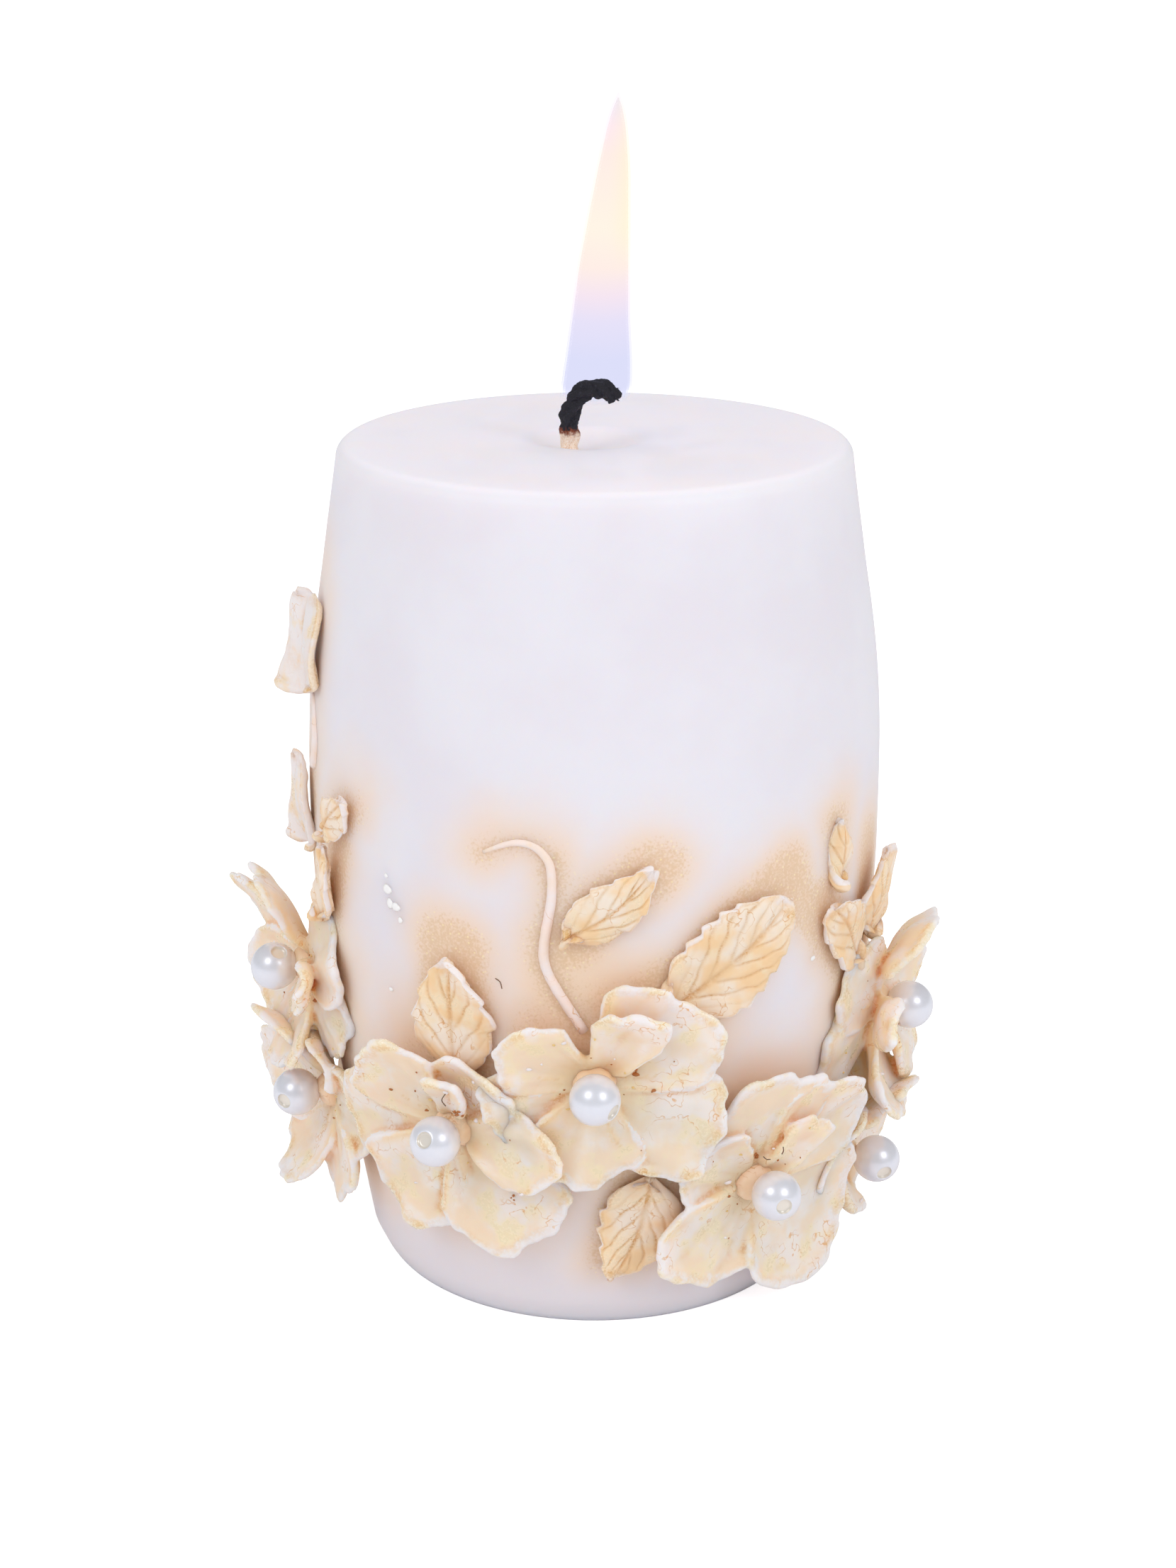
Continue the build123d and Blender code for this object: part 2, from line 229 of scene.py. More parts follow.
# Clusters of pigment crumbs: the flower, how far right of its pearl and above it, and how many.
CLUSTERS = [
    ("front_right", -0.6, 4.0, 7), ("front_left", 6.4, -8.4, 3), ("front", 4.4, 1.7, 3),
    ("front", 7.2, -0.6, 2), ("front_right", -12.6, 2.2, 5), ("front_left", 2.2, 3.4, 4),
    ("left_upper", 2.8, -3.2, 3), ("front", -9.2, -6.8, 3),
]

# Where each of the flame's colours is purest, by height.
FLAME_BANDS = [
    (115.0, "root_colour"), (119.5, "haze_colour"), (122.6, "blush_colour"), (125.8, "warm_colour"),
    (130.5, "glow_colour"), (138.8, "warm_colour"), (142.0, "rose_colour"), (145.2, "tip_colour"),
]

# The flame's outline: height, centre x and half width. Its round sections are set back behind the wick.
FLAME_OUTLINE = [
    (106.6, -1.6, 1.4), (107.6, -0.8, 3.0), (109.2, -0.1, 4.1), (111.4, 0.2, 4.3), (114.2, 0.45, 4.08),
    (119.2, 0.65, 3.62), (125.8, 1.07, 3.18), (132.3, 1.67, 2.54), (137.2, 2.15, 2.04),
    (141.9, 2.5, 1.34), (144.4, 2.64, 0.75), (145.8, 2.7, 0.05),
]


def linear(hex_colour):
    """An sRGB hex colour such as "E8E6EF" as linear red, green and blue."""
    shares = [int(hex_colour[i : i + 2], 16) / 255 for i in (0, 2, 4)]
    return tuple(s / 12.92 if s <= 0.04045 else ((s + 0.055) / 1.055) ** 2.4 for s in shares)


def step(low, high, values):
    """Smooth 0 to 1 as values pass from low to high."""
    t = np.clip((values - low) / (high - low), 0.0, 1.0)
    return t * t * (3 - 2 * t)


def side_radius(heights):
    """The wax body's radius at the given heights: a smooth curve over a straight bevel."""
    slopes = np.gradient(SIDE_RADII, SIDE_HEIGHTS)
    bevel, lowest = np.diff(SIDE_RADII[:3]) / np.diff(SIDE_HEIGHTS[:3])
    starts, ends = slopes[:-1].copy(), slopes[1:].copy()
    starts[0], starts[1], ends[0] = bevel, lowest, bevel
    heights = np.clip(heights, 0, BODY_HEIGHT)
    last = len(SIDE_HEIGHTS) - 2
    index = np.clip(np.searchsorted(SIDE_HEIGHTS, heights, side="right") - 1, 0, last)
    low, high = np.take(SIDE_HEIGHTS, index), np.take(SIDE_HEIGHTS, index + 1)
    t, span = (heights - low) / (high - low), high - low
    return (
        (2 * t**3 - 3 * t**2 + 1) * np.take(SIDE_RADII, index)
        + (t**3 - 2 * t**2 + t) * span * np.take(starts, index)
        + (3 * t**2 - 2 * t**3) * np.take(SIDE_RADII, index + 1)
        + (t**3 - t**2) * span * np.take(ends, index)
    )


def on_wax(azimuths, heights, lifts):
    """Points at the given azimuths and heights, lifted off the wax: an array of places in metres."""
    azimuths, heights, lifts = np.broadcast_arrays(azimuths, heights, lifts)
    radii = side_radius(heights) + lifts
    around = np.radians(azimuths)
    return np.stack([radii * np.sin(around), -radii * np.cos(around), heights], axis=-1) * MM


def flower_place(name):
    """A flower's azimuth, height and the three directions right, up and out, read from its pearl."""
    low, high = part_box(f"flower_{name}_pearl")
    middle = (Vector(low) + Vector(high)) / 2
    azimuth = math.atan2(middle.x, -middle.y)
    right = Vector((math.cos(azimuth), math.sin(azimuth), 0))
    up, out = Vector((0, 0, 1)), Vector((right.y, -right.x, 0))
    return math.degrees(azimuth), middle.z / MM, right, up, out


# ---- Mesh helpers ----


def clear_selection():
    if bpy.context.mode != "OBJECT":
        bpy.ops.object.mode_set(mode="OBJECT")
    bpy.ops.object.select_all(action="DESELECT")


def take(obj):
    """Makes an object the only one selected, and active."""
    clear_selection()
    obj.select_set(True)
    bpy.context.view_layer.objects.active = obj
    return obj


def name_piece(obj, name):
    obj.name = name
    obj.data.name = name
    return obj


def points_of(obj):
    flat = np.empty(len(obj.data.vertices) * 3)
    obj.data.vertices.foreach_get("co", flat)
    return flat.reshape(-1, 3)


def normals_of(obj):
    flat = np.empty(len(obj.data.vertices) * 3)
    obj.data.vertices.foreach_get("normal", flat)
    return flat.reshape(-1, 3)


def set_points(obj, points):
    obj.data.vertices.foreach_set("co", np.ascontiguousarray(points, dtype=float).ravel())
    obj.data.update()


def paint(obj, name, values):
    """Stores one number per vertex, for a material to read."""
    attribute = obj.data.attributes.get(name) or obj.data.attributes.new(name, "FLOAT", "POINT")
    attribute.data.foreach_set("value", np.ascontiguousarray(values, dtype=np.float32))


def painted(obj, name):
    values = np.empty(len(obj.data.vertices), dtype=np.float32)
    obj.data.attributes[name].data.foreach_get("value", values)
    return values


def mark_relief(obj):
    """Paints a skin's ridges and creases, from how far it lies off its own smoothing."""
    ends = np.empty(len(obj.data.edges) * 2, dtype=np.int64)
    obj.data.edges.foreach_get("vertices", ends)
    first, second = ends.reshape(-1, 2).T
    points = points_of(obj)
    total = len(points)
    neighbours = np.bincount(first, minlength=total) + np.bincount(second, minlength=total)
    smooth = points.copy()
    for _ in range(14):
        sums = [
            np.bincount(first, smooth[second, axis], total)
            + np.bincount(second, smooth[first, axis], total)
            for axis in range(3)
        ]
        smooth = 0.4 * smooth + 0.6 * np.stack(sums, axis=-1) / neighbours[:, None]
    depth = ((smooth - points) * normals_of(obj)).sum(axis=1) / MM
    paint(obj, "ridge", step(0.03, 0.16, -depth))
    paint(obj, "crease", np.maximum(step(0.04, 0.16, depth), painted(obj, "outline")))


def rough(points, size_mm, seed):
    """Smooth noise from -1 to 1 at points in metres, with lumps of about the given size."""
    shift = Vector((seed * 7.31, seed * 3.17, seed * 5.53))
    return np.array([noise.noise(Vector(p) / (size_mm * MM) + shift) for p in points])


def apply_modifier(obj, kind, **settings):
    take(obj)
    modifier = obj.modifiers.new(kind.title(), kind)
    for key, value in settings.items():
        setattr(modifier, key, value)
    bpy.ops.object.modifier_apply(modifier=modifier.name)


def join_pieces(pieces, name):
    take(pieces[0])
    for piece in pieces:
        piece.select_set(True)
    if len(pieces) > 1:
        bpy.ops.object.join()
    return name_piece(bpy.context.object, name)


def recalculate_normals(obj):
    take(obj)
    bpy.ops.object.mode_set(mode="EDIT")
    bpy.ops.mesh.select_all(action="SELECT")
    bpy.ops.mesh.remove_doubles(threshold=0.00001)
    bpy.ops.mesh.normals_make_consistent(inside=False)
    bpy.ops.object.mode_set(mode="OBJECT")


def spin_outline(name, outline, steps):
    """Turns an outline of (radius, height), in metres, round the Z axis into a closed skin."""
    mesh = bpy.data.meshes.new(name)
    edges = [(i, i + 1) for i in range(len(outline) - 1)]
    mesh.from_pydata([(radius, 0, height) for radius, height in outline], edges, [])
    obj = bpy.data.objects.new(name, mesh)
    bpy.context.collection.objects.link(obj)
    take(obj)
    bpy.ops.object.mode_set(mode="EDIT")
    bpy.ops.mesh.select_all(action="SELECT")
    bpy.ops.mesh.spin(steps=steps, angle=math.tau, center=(0, 0, 0), axis=(0, 0, 1))
    bpy.ops.object.mode_set(mode="OBJECT")
    recalculate_normals(obj)
    bpy.ops.object.shade_smooth()
    return obj


def roll_tube(name, kind, places, radii, thickness, roundness, steps=12):
    """Rolls a closed tube along places in metres, as thick at each as its share of the thickness."""
    curve = bpy.data.curves.new(name, "CURVE")
    curve.dimensions = "3D"
    curve.bevel_depth = thickness
    curve.bevel_resolution = roundness
    curve.use_fill_caps = True
    curve.resolution_u = steps
    line = curve.splines.new(kind)
    line.points.add(len(places) - 1)
    for point, place, radius in zip(line.points, places, radii):
        point.co = (*place, 1.0)
        point.radius = radius
    if kind == "NURBS":
        line.order_u = 3
        line.use_endpoint_u = True
    tube = bpy.data.objects.new(name, curve)
    bpy.context.collection.objects.link(tube)
    take(tube)
    bpy.ops.object.convert(target="MESH")
    tube = name_piece(bpy.context.object, name)
    recalculate_normals(tube)
    return tube


def seat_piece(obj, material, slot, *nodes):
    """Gives a finished piece its material and its body, and hides the nodes that it stands for. Its
    slot is not used.
    """
    obj.data.materials.clear()
    obj.data.materials.append(material)
    take(obj)
    bpy.ops.object.shade_smooth()
    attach(obj, "root")
    if nodes:
        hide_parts(*nodes)


# ---- Materials ----


def add_node(tree, kind, inputs=None, output=0, **settings):
    """Adds a node with its settings, gives inputs their values or links, and returns one output."""
    made = tree.nodes.new(kind)
    for key, value in settings.items():
        setattr(made, key, value)
    for key, value in (inputs or {}).items():
        if isinstance(value, bpy.types.NodeSocket):
            tree.links.new(value, made.inputs[key])
        elif isinstance(value, tuple) and made.inputs[key].type == "RGBA":
            made.inputs[key].default_value = (*value[:3], 1.0)
        else:
            made.inputs[key].default_value = value
    return made.outputs[output] if made.outputs else None


def fresh_material(name):
    """An empty material, and add_node on its tree."""
    material = bpy.data.materials.new(name)
    material.use_nodes = True
    material.node_tree.nodes.clear()
    return material, functools.partial(add_node, material.node_tree)


def cast_wax(settings):
    """Paraffin cast in a smooth mould: satin, slightly clear, airbrushed round the garland, with a
    painted warm glow round the garland and painted shade at its foot.
    """
    material, add = fresh_material("cast_paraffin_wax")
    place = add("ShaderNodeTexCoord", output="Object")
    read = {
        name: add("ShaderNodeAttribute", output="Fac", attribute_name=name)
        for name in ("garland_glow", "dust", "top", "pool", "foot")
    }
    # Clouding is a centimetre or more across. Single grains of airbrushed dust are really 0.05 mm, and
    # are drawn as 0.3 mm so that they show.
    cloud = add("ShaderNodeTexNoise", {"Vector": place, "Scale": 1 / (14 * MM), "Detail": 3.0})
    blotch = add("ShaderNodeTexNoise", {"Vector": place, "Scale": 1 / (9 * MM), "Detail": 3.0})
    grain = add("ShaderNodeTexNoise", {"Vector": place, "Scale": 1 / (0.32 * MM), "Detail": 1.0})
    glints = add("ShaderNodeTexVoronoi", {"Vector": place, "Scale": 1 / (0.8 * MM)})
    specks = add("ShaderNodeTexVoronoi", {"Vector": place, "Scale": 1 / (13 * MM)})
    clouded = add("ShaderNodeMapRange", {0: cloud, 1: 0.35, 2: 0.65}, **SMOOTH)
    blushed = add("ShaderNodeMapRange", {0: blotch, 1: 0.4, 2: 0.7, 4: read["top"]})
    # The warm wax round the garland is a painted warm glow, for the light that the petals throw back
    # onto the wax and that glows through it.
    garland_glow_share = add("ShaderNodeMapRange", {0: cloud, 1: 0.0, 2: 0.5, 4: read["garland_glow"]})
    hazed = add("ShaderNodeMath", {0: read["dust"], 1: 0.6}, operation="MULTIPLY")
    sprayed = add("ShaderNodeMath", {0: grain, 1: 0.9, 2: hazed}, operation="MULTIPLY_ADD")
    sprayed = add("ShaderNodeMapRange", {0: sprayed, 1: 0.8, 2: 1.15, 4: 0.5}, **SMOOTH)
    glinting = add("ShaderNodeMapRange", {0: read["dust"], 1: 0.2, 2: 0.8, 4: 0.55})
    glinting = add("ShaderNodeMapRange", {0: glints, 1: 0.21, 2: 0.13, 4: glinting})
    speckled = add("ShaderNodeMapRange", {0: specks, 1: 0.01, 2: 0.006, 4: 0.5})
    wax = settings.wax_colour[:]
    for share, colour in (
        (clouded, settings.wax_shade),
        (read["top"], settings.top_colour),
        (blushed, settings.blush_colour),
        (read["pool"], settings.pool_colour),
        # The foot is painted shade: the wax is darker and greyer low down, where less light reaches it.
        (read["foot"], settings.foot_shade_colour),
        # Painted warm glow round the garland.
        (garland_glow_share, settings.warm_colour),
        (hazed, settings.dust_colour),
        (sprayed, settings.grain_colour),
        (glinting, settings.sparkle_colour),
        (speckled, settings.speck_colour),
    ):
        wax = add("ShaderNodeMix", {0: share, 6: wax, 7: colour[:]}, 2, data_type="RGBA")
    relief = add("ShaderNodeMath", {0: grain, 1: 0.12, 2: cloud}, operation="MULTIPLY_ADD")
    bump = add("ShaderNodeBump", {"Strength": 0.1, "Distance": 0.3 * MM, "Height": relief})
    shader = add(
        "ShaderNodeBsdfPrincipled",
        {
            "Base Color": wax,
            "Roughness": 0.5,
            "IOR": 1.43,
            "Subsurface Weight": 0.7,
            "Subsurface Radius": (1.0, 0.75, 0.6),
            "Subsurface Scale": 6 * MM,
            "Specular IOR Level": 0.3,
            "Normal": bump,
        },
    )
    add("ShaderNodeOutputMaterial", {"Surface": shader})
    return material


def pressed_wax(settings, name, body_colour, pale_colour, clearness):
    """Soft wax pressed in a mould: clear, with painted warm shade in its hollows, worn white at its
    edges, and rubbed with gold whose bright colour is also its painted sheen.
    """
    material, add = fresh_material(name)
    place = add("ShaderNodeTexCoord", output="Object")
    read = {
        name: add("ShaderNodeAttribute", output="Fac", attribute_name=name)
        for name in ("margin", "hollow_shade", "ridge", "crease", "gilding")
    }
    # The wax clouds over 5 mm, powder is rubbed on in patches of 3 mm with a grain of 0.3 mm, and brown
    # pigment wanders in lines about 2 mm apart.
    cloud = add("ShaderNodeTexNoise", {"Vector": place, "Scale": 1 / (5 * MM), "Detail": 3.0})
    patchy = {"Vector": place, "Scale": 1 / (2.6 * MM), "Detail": 4.0, "Roughness": 0.6}
    patch = add("ShaderNodeTexNoise", patchy)
    rubbed = add("ShaderNodeTexNoise", {"Vector": place, "Scale": 1 / (3.4 * MM), "Detail": 3.0})
    wander = add("ShaderNodeTexNoise", {"Vector": place, "Scale": 1 / (2.3 * MM), "Detail": 2.0})
    fine = add("ShaderNodeTexNoise", {"Vector": place, "Scale": 1 / (0.35 * MM), "Detail": 2.0})
    cells = add("ShaderNodeTexVoronoi", {"Vector": place, "Scale": 1 / (5.5 * MM)})

    clouded = add("ShaderNodeMapRange", {0: cloud, 1: 0.38, 2: 0.62}, **SMOOTH)
    # Painted warm shade: the wax deep in a flower, in the side creases of its petals and in leaf veins
    # turns peach as if in shadow.
    deep = add("ShaderNodeMath", {0: read["hollow_shade"], 1: 0.9}, operation="MULTIPLY")
    worn = add("ShaderNodeMath", {0: read["margin"], 1: 0.85, 2: patch}, operation="MULTIPLY_ADD")
    worn = add("ShaderNodeMapRange", {0: worn, 1: 0.78, 2: 1.2, 4: 0.85}, **SMOOTH)
    # Gold is rubbed on in patches, a little more on ridges, and is broken up by its own grain. Its
    # bright colour is also the gold's sheen, a painted highlight.
    gilt_and_sheen = add("ShaderNodeMath", {0: read["ridge"], 1: 0.06, 2: rubbed}, operation="MULTIPLY_ADD")
    gilt_and_sheen = add("ShaderNodeMapRange", {0: gilt_and_sheen, 1: 0.5, 2: 0.66, 4: read["gilding"]}, **SMOOTH)
    grained = add("ShaderNodeMapRange", {0: fine, 1: 0.2, 2: 0.55, 3: 0.55, 4: 0.9})
    gilt_and_sheen = add("ShaderNodeMath", {0: gilt_and_sheen, 1: grained}, operation="MULTIPLY")
    # Pigment stays in creases and in thin wandering lines.
    line = add("ShaderNodeMath", {0: wander, 1: 0.5}, operation="SUBTRACT")
    line = add("ShaderNodeMath", {0: line}, operation="ABSOLUTE")
    line = add("ShaderNodeMapRange", {0: line, 1: 0.016, 2: 0.004, 4: 0.85}, **SMOOTH)
    wandering = add("ShaderNodeMapRange", {0: cloud, 1: 0.5, 2: 0.62, 4: line}, **SMOOTH)
    caught = add("ShaderNodeMapRange", {0: rubbed, 1: 0.38, 2: 0.6, 3: 0.25, 4: 1.0})
    lines = {0: read["crease"], 1: caught, 2: wandering}
    line = add("ShaderNodeMath", lines, operation="MULTIPLY_ADD", use_clamp=True)
    stained = add("ShaderNodeMapRange", {0: fine, 1: 0.3, 2: 0.55, 3: 0.25, 4: 0.8})
    line = add("ShaderNodeMath", {0: line, 1: stained}, operation="MULTIPLY")
    spots = add("ShaderNodeMapRange", {0: rubbed, 1: 0.5, 2: 0.6, 4: 0.75})
    spots = add("ShaderNodeMapRange", {0: cells, 1: 0.036, 2: 0.022, 4: spots})
    wax = body_colour[:]
    for share, colour in (
        (clouded, pale_colour),
        (deep, settings.hollow_shade_colour),
        (worn, settings.margin_colour),
        (gilt_and_sheen, settings.gold_sheen_colour),
        (line, settings.pigment_colour),
        (spots, settings.spot_colour),
    ):
        wax = add("ShaderNodeMix", {0: share, 6: wax, 7: colour[:]}, 2, data_type="RGBA")
    relief = add("ShaderNodeMath", {0: fine, 1: 0.2, 2: patch}, operation="MULTIPLY_ADD")
    bump = add("ShaderNodeBump", {"Strength": 0.22, "Distance": 0.3 * MM, "Height": relief})
    shader = add(
        "ShaderNodeBsdfPrincipled",
        {
            "Base Color": wax,
            "Metallic": add("ShaderNodeMath", {0: gilt_and_sheen, 1: 0.06}, operation="MULTIPLY"),
            "Roughness": add("ShaderNodeMath", {0: gilt_and_sheen, 1: -0.18, 2: 0.42}, operation="MULTIPLY_ADD"),
            "IOR": 1.43,
            "Subsurface Weight": clearness,
            "Subsurface Radius": (1.0, 0.75, 0.58),
            "Subsurface Scale": 3.5 * MM,
            "Normal": bump,
        },
    )
    add("ShaderNodeOutputMaterial", {"Surface": shader})
    return material


def bare_wax(name, colour):
    """A crumb, scraping or fibre, too small for more than a dry rough face in one colour."""
    material, add = fresh_material(name)
    place = add("ShaderNodeTexCoord", output="Object")
    grain = add("ShaderNodeTexNoise", {"Vector": place, "Scale": 1 / (0.3 * MM)})
    shade = tuple(channel * 0.94 for channel in colour)
    tone = add("ShaderNodeMix", {0: grain, 6: tuple(colour), 7: shade}, 2, data_type="RGBA")
    bump = add("ShaderNodeBump", {"Strength": 0.4, "Distance": 0.1 * MM, "Height": grain})
    shader = add("ShaderNodeBsdfPrincipled", {"Base Color": tone, "Roughness": 0.5, "Normal": bump})
    add("ShaderNodeOutputMaterial", {"Surface": shader})
    return material


def pearl_nacre(settings):
    """A moulded bead under pearl lacquer: milky, with a soft deep gloss and a clear coat over it."""
    material, add = fresh_material("pearl_lacquer_on_acrylic")
    place = add("ShaderNodeTexCoord", output="Object")
    cloud = add("ShaderNodeTexNoise", {"Vector": place, "Scale": 1 / (1.6 * MM)})
    bored = add("ShaderNodeAttribute", output="Fac", attribute_name="bore")
    colour = settings.nacre_colour[:]
    for share, layer in ((cloud, settings.nacre_shade), (bored, settings.bore_colour)):
        colour = add("ShaderNodeMix", {0: share, 6: colour, 7: layer[:]}, 2, data_type="RGBA")
    shader = add(
        "ShaderNodeBsdfPrincipled",
        {
            "Base Color": colour,
            "Metallic": 0.45,
            "Roughness": 0.34,
            "IOR": 1.5,
            "Subsurface Weight": 0.15,
            "Subsurface Radius": (1.0, 0.9, 0.8),
            "Subsurface Scale": 1 * MM,
            "Coat Weight": 0.8,
            "Coat Roughness": 0.2,
            "Coat IOR": 1.5,
        },
    )
    add("ShaderNodeOutputMaterial", {"Surface": shader})
    return material


def charred_cotton(settings):
    """Braided cotton: waxed and cream at its foot, scorched brown, then dull black char."""
    material, add = fresh_material("charred_cotton_braid")
    place = add("ShaderNodeTexCoord", output="Object")
    height = add("ShaderNodeSeparateXYZ", {"Vector": place}, "Z")
    # Cotton fibres are 0.02 mm across and are drawn as streaks of 0.2 mm so that they show.
    bundled = {"Vector": place, "Scale": 1 / (0.5 * MM), "Detail": 4.0, "Roughness": 0.7}
    fibres = add("ShaderNodeTexNoise", bundled)
    streaked = {"Vector": place, "Scale": 1 / (0.2 * MM), "Detail": 3.0, "Distortion": 1.5}
    streaks = add("ShaderNodeTexNoise", streaked)
    ragged = add("ShaderNodeMath", {0: fibres, 1: 2.4 * MM, 2: height}, operation="MULTIPLY_ADD")
    ragged = add("ShaderNodeMath", {0: ragged, 1: 1.2 * MM}, operation="SUBTRACT")
    scorch = settings.scorch_height
    browned = add("ShaderNodeMapRange", {0: ragged, 1: scorch - 0.9 * MM, 2: scorch}, **SMOOTH)
    burnt = add("ShaderNodeMapRange", {0: ragged, 1: scorch, 2: scorch + 0.5 * MM}, **SMOOTH)
    # Lighter grey-blue streaks on the char: ash, and painted highlights along the burnt fibres.
    sooty = add("ShaderNodeMapRange", {0: streaks, 1: 0.55, 2: 0.8, 4: burnt})
    soaked = add("ShaderNodeMapRange", {0: streaks, 1: 0.35, 2: 0.65})
    colour = settings.cotton_colour[:]
    for share, layer in (
        (soaked, settings.waxed_colour),
        (browned, settings.scorch_colour),
        (burnt, settings.char_colour),
        (sooty, settings.soot_colour),
    ):
        colour = add("ShaderNodeMix", {0: share, 6: colour, 7: layer[:]}, 2, data_type="RGBA")
    bump = add("ShaderNodeBump", {"Strength": 0.8, "Distance": 0.15 * MM, "Height": fibres})
    inputs = {
        "Base Color": colour,
        "Roughness": 0.6,
        "IOR": 1.5,
        "Specular IOR Level": 0.35,
        "Normal": bump,
    }
    add("ShaderNodeOutputMaterial", {"Surface": add("ShaderNodeBsdfPrincipled", inputs)})
    return material


def burning_gas(settings, opacity):
    """Hot gas: lavender and nearly clear at the wick, glowing cream with glowing soot above it."""
    material, add = fresh_material(f"burning_gas_{round(opacity * 100)}")
    place = add("ShaderNodeTexCoord", output="Object")
    height = add("ShaderNodeSeparateXYZ", {"Vector": place}, "Z")
    across = add("ShaderNodeSeparateXYZ", {"Vector": place}, "X")
    low, high = FLAME_BANDS[0][0], FLAME_BANDS[-1][0]
    share = add("ShaderNodeMapRange", {0: height, 1: low * MM, 2: high * MM})
    banded = add("ShaderNodeValToRGB", {"Fac": share})
    bands = banded.node.color_ramp.elements
    while len(bands) < len(FLAME_BANDS):
        bands.new(0.5)
    for band, (level, name) in zip(bands, FLAME_BANDS):
        band.position = (level - low) / (high - low)
        band.color = (*getattr(settings, name), 1.0)
    risen = add("ShaderNodeMapRange", {0: height, 1: 124 * MM, 2: 131 * MM, 4: 0.6}, **SMOOTH)
    sooty = add("ShaderNodeMapRange", {0: across, 1: 1.2 * MM, 2: 4.6 * MM, 4: risen}, **SMOOTH)
    glow = add("ShaderNodeMix", {0: sooty, 6: banded, 7: settings.soot_colour[:]}, 2, data_type="RGBA")
    seen = {0: height, 1: settings.clear_height, 2: settings.full_height, 4: opacity}
    shader = add(
        "ShaderNodeBsdfPrincipled",
        {
            "Base Color": (0.0, 0.0, 0.0),
            "Roughness": 1.0,
            "Specular IOR Level": 0.0,
            "Emission Color": glow,
            "Emission Strength": 1.0,
            "Alpha": add("ShaderNodeMapRange", seen, **SMOOTH),
        },
    )
    add("ShaderNodeOutputMaterial", {"Surface": shader})
    return material


def tinned_steel():
    """Thin stamped steel with a dull tin finish, smeared where the hot tin ran."""
    material, add = fresh_material("tinned_steel_stamping")
    place = add("ShaderNodeTexCoord", output="Object")
    smear = add("ShaderNodeTexNoise", {"Vector": place, "Scale": 1 / (1.5 * MM), "Detail": 3.0})
    tones = {0: smear, 6: linear("A9A8A6"), 7: linear("8E8D8C")}
    inputs = {
        "Base Color": add("ShaderNodeMix", tones, 2, data_type="RGBA"),
        "Metallic": 1.0,
        "Roughness": add("ShaderNodeMath", {0: smear, 1: 0.2, 2: 0.28}, operation="MULTIPLY_ADD"),
    }
    add("ShaderNodeOutputMaterial", {"Surface": add("ShaderNodeBsdfPrincipled", inputs)})
    return material


def studio_floor(settings):
    """A plain white table top, lit evenly enough to leave only a faint shadow under the candle."""
    material, add = fresh_material("white_table_top")
    seen = add("ShaderNodeLightPath", output="Is Camera Ray")
    lift = add("ShaderNodeMath", {0: seen, 1: settings.floor_glow}, operation="MULTIPLY")
    inputs = {
        "Base Color": settings.floor_colour[:],
        "Roughness": 0.8,
        "Emission Color": (1.0, 1.0, 1.0),
        "Emission Strength": lift,
    }
    add("ShaderNodeOutputMaterial", {"Surface": add("ShaderNodeBsdfPrincipled", inputs)})
    return material


# ---- The settings that a user would change ----


def length_setting(name, description, default):
    return bpy.props.FloatProperty(
        name=name, description=description, default=default, min=0.0, subtype="DISTANCE", unit="LENGTH"
    )


def colour_setting(name, description, hex_colour):
    colour = linear(hex_colour)
    return bpy.props.FloatVectorProperty(
        name=name, description=description, default=colour, min=0.0, max=1.0, size=3, subtype="COLOR"
    )


class CandleBodySettings(bpy.types.PropertyGroup):
    unevenness: length_setting("Unevenness", "How far the cast side wanders from true", 0.12 * MM)
    wax_colour: colour_setting("Wax", "The plain wax", "EBEAF2")
    wax_shade: colour_setting("Wax shade", "The slow clouding in the plain wax", "E9E6EE")
    top_colour: colour_setting("Top", "The wax of the top face, which has been melted", "F2EEFB")
    blush_colour: colour_setting("Blush", "Slightly pinker wax on the top face", "F5EEF4")
    pool_colour: colour_setting("Pool", "The wax of the melt pool", "FBF0F3")
    # The foot colour is painted shade: darker wax low on the body, where less light reaches it.
    foot_shade_colour: colour_setting("Foot", "The wax under the garland", "EAE4E9")
    # The warm wax is a painted warm glow round the garland, for the light that the flowers throw back
    # onto the wax.
    warm_colour: colour_setting("Warm wax", "The wax round the garland", "F7DFCB")
    dust_colour: colour_setting("Dust", "The haze of airbrushed gold dust", "F7D8B9")
    grain_colour: colour_setting("Grain", "The darker grains of the dust", "E0BF92")
    sparkle_colour: colour_setting("Sparkle", "Single bright grains of the dust", "FFEFC6")
    speck_colour: colour_setting("Specks", "Stray specks of dirt on the wax", "8A7668")


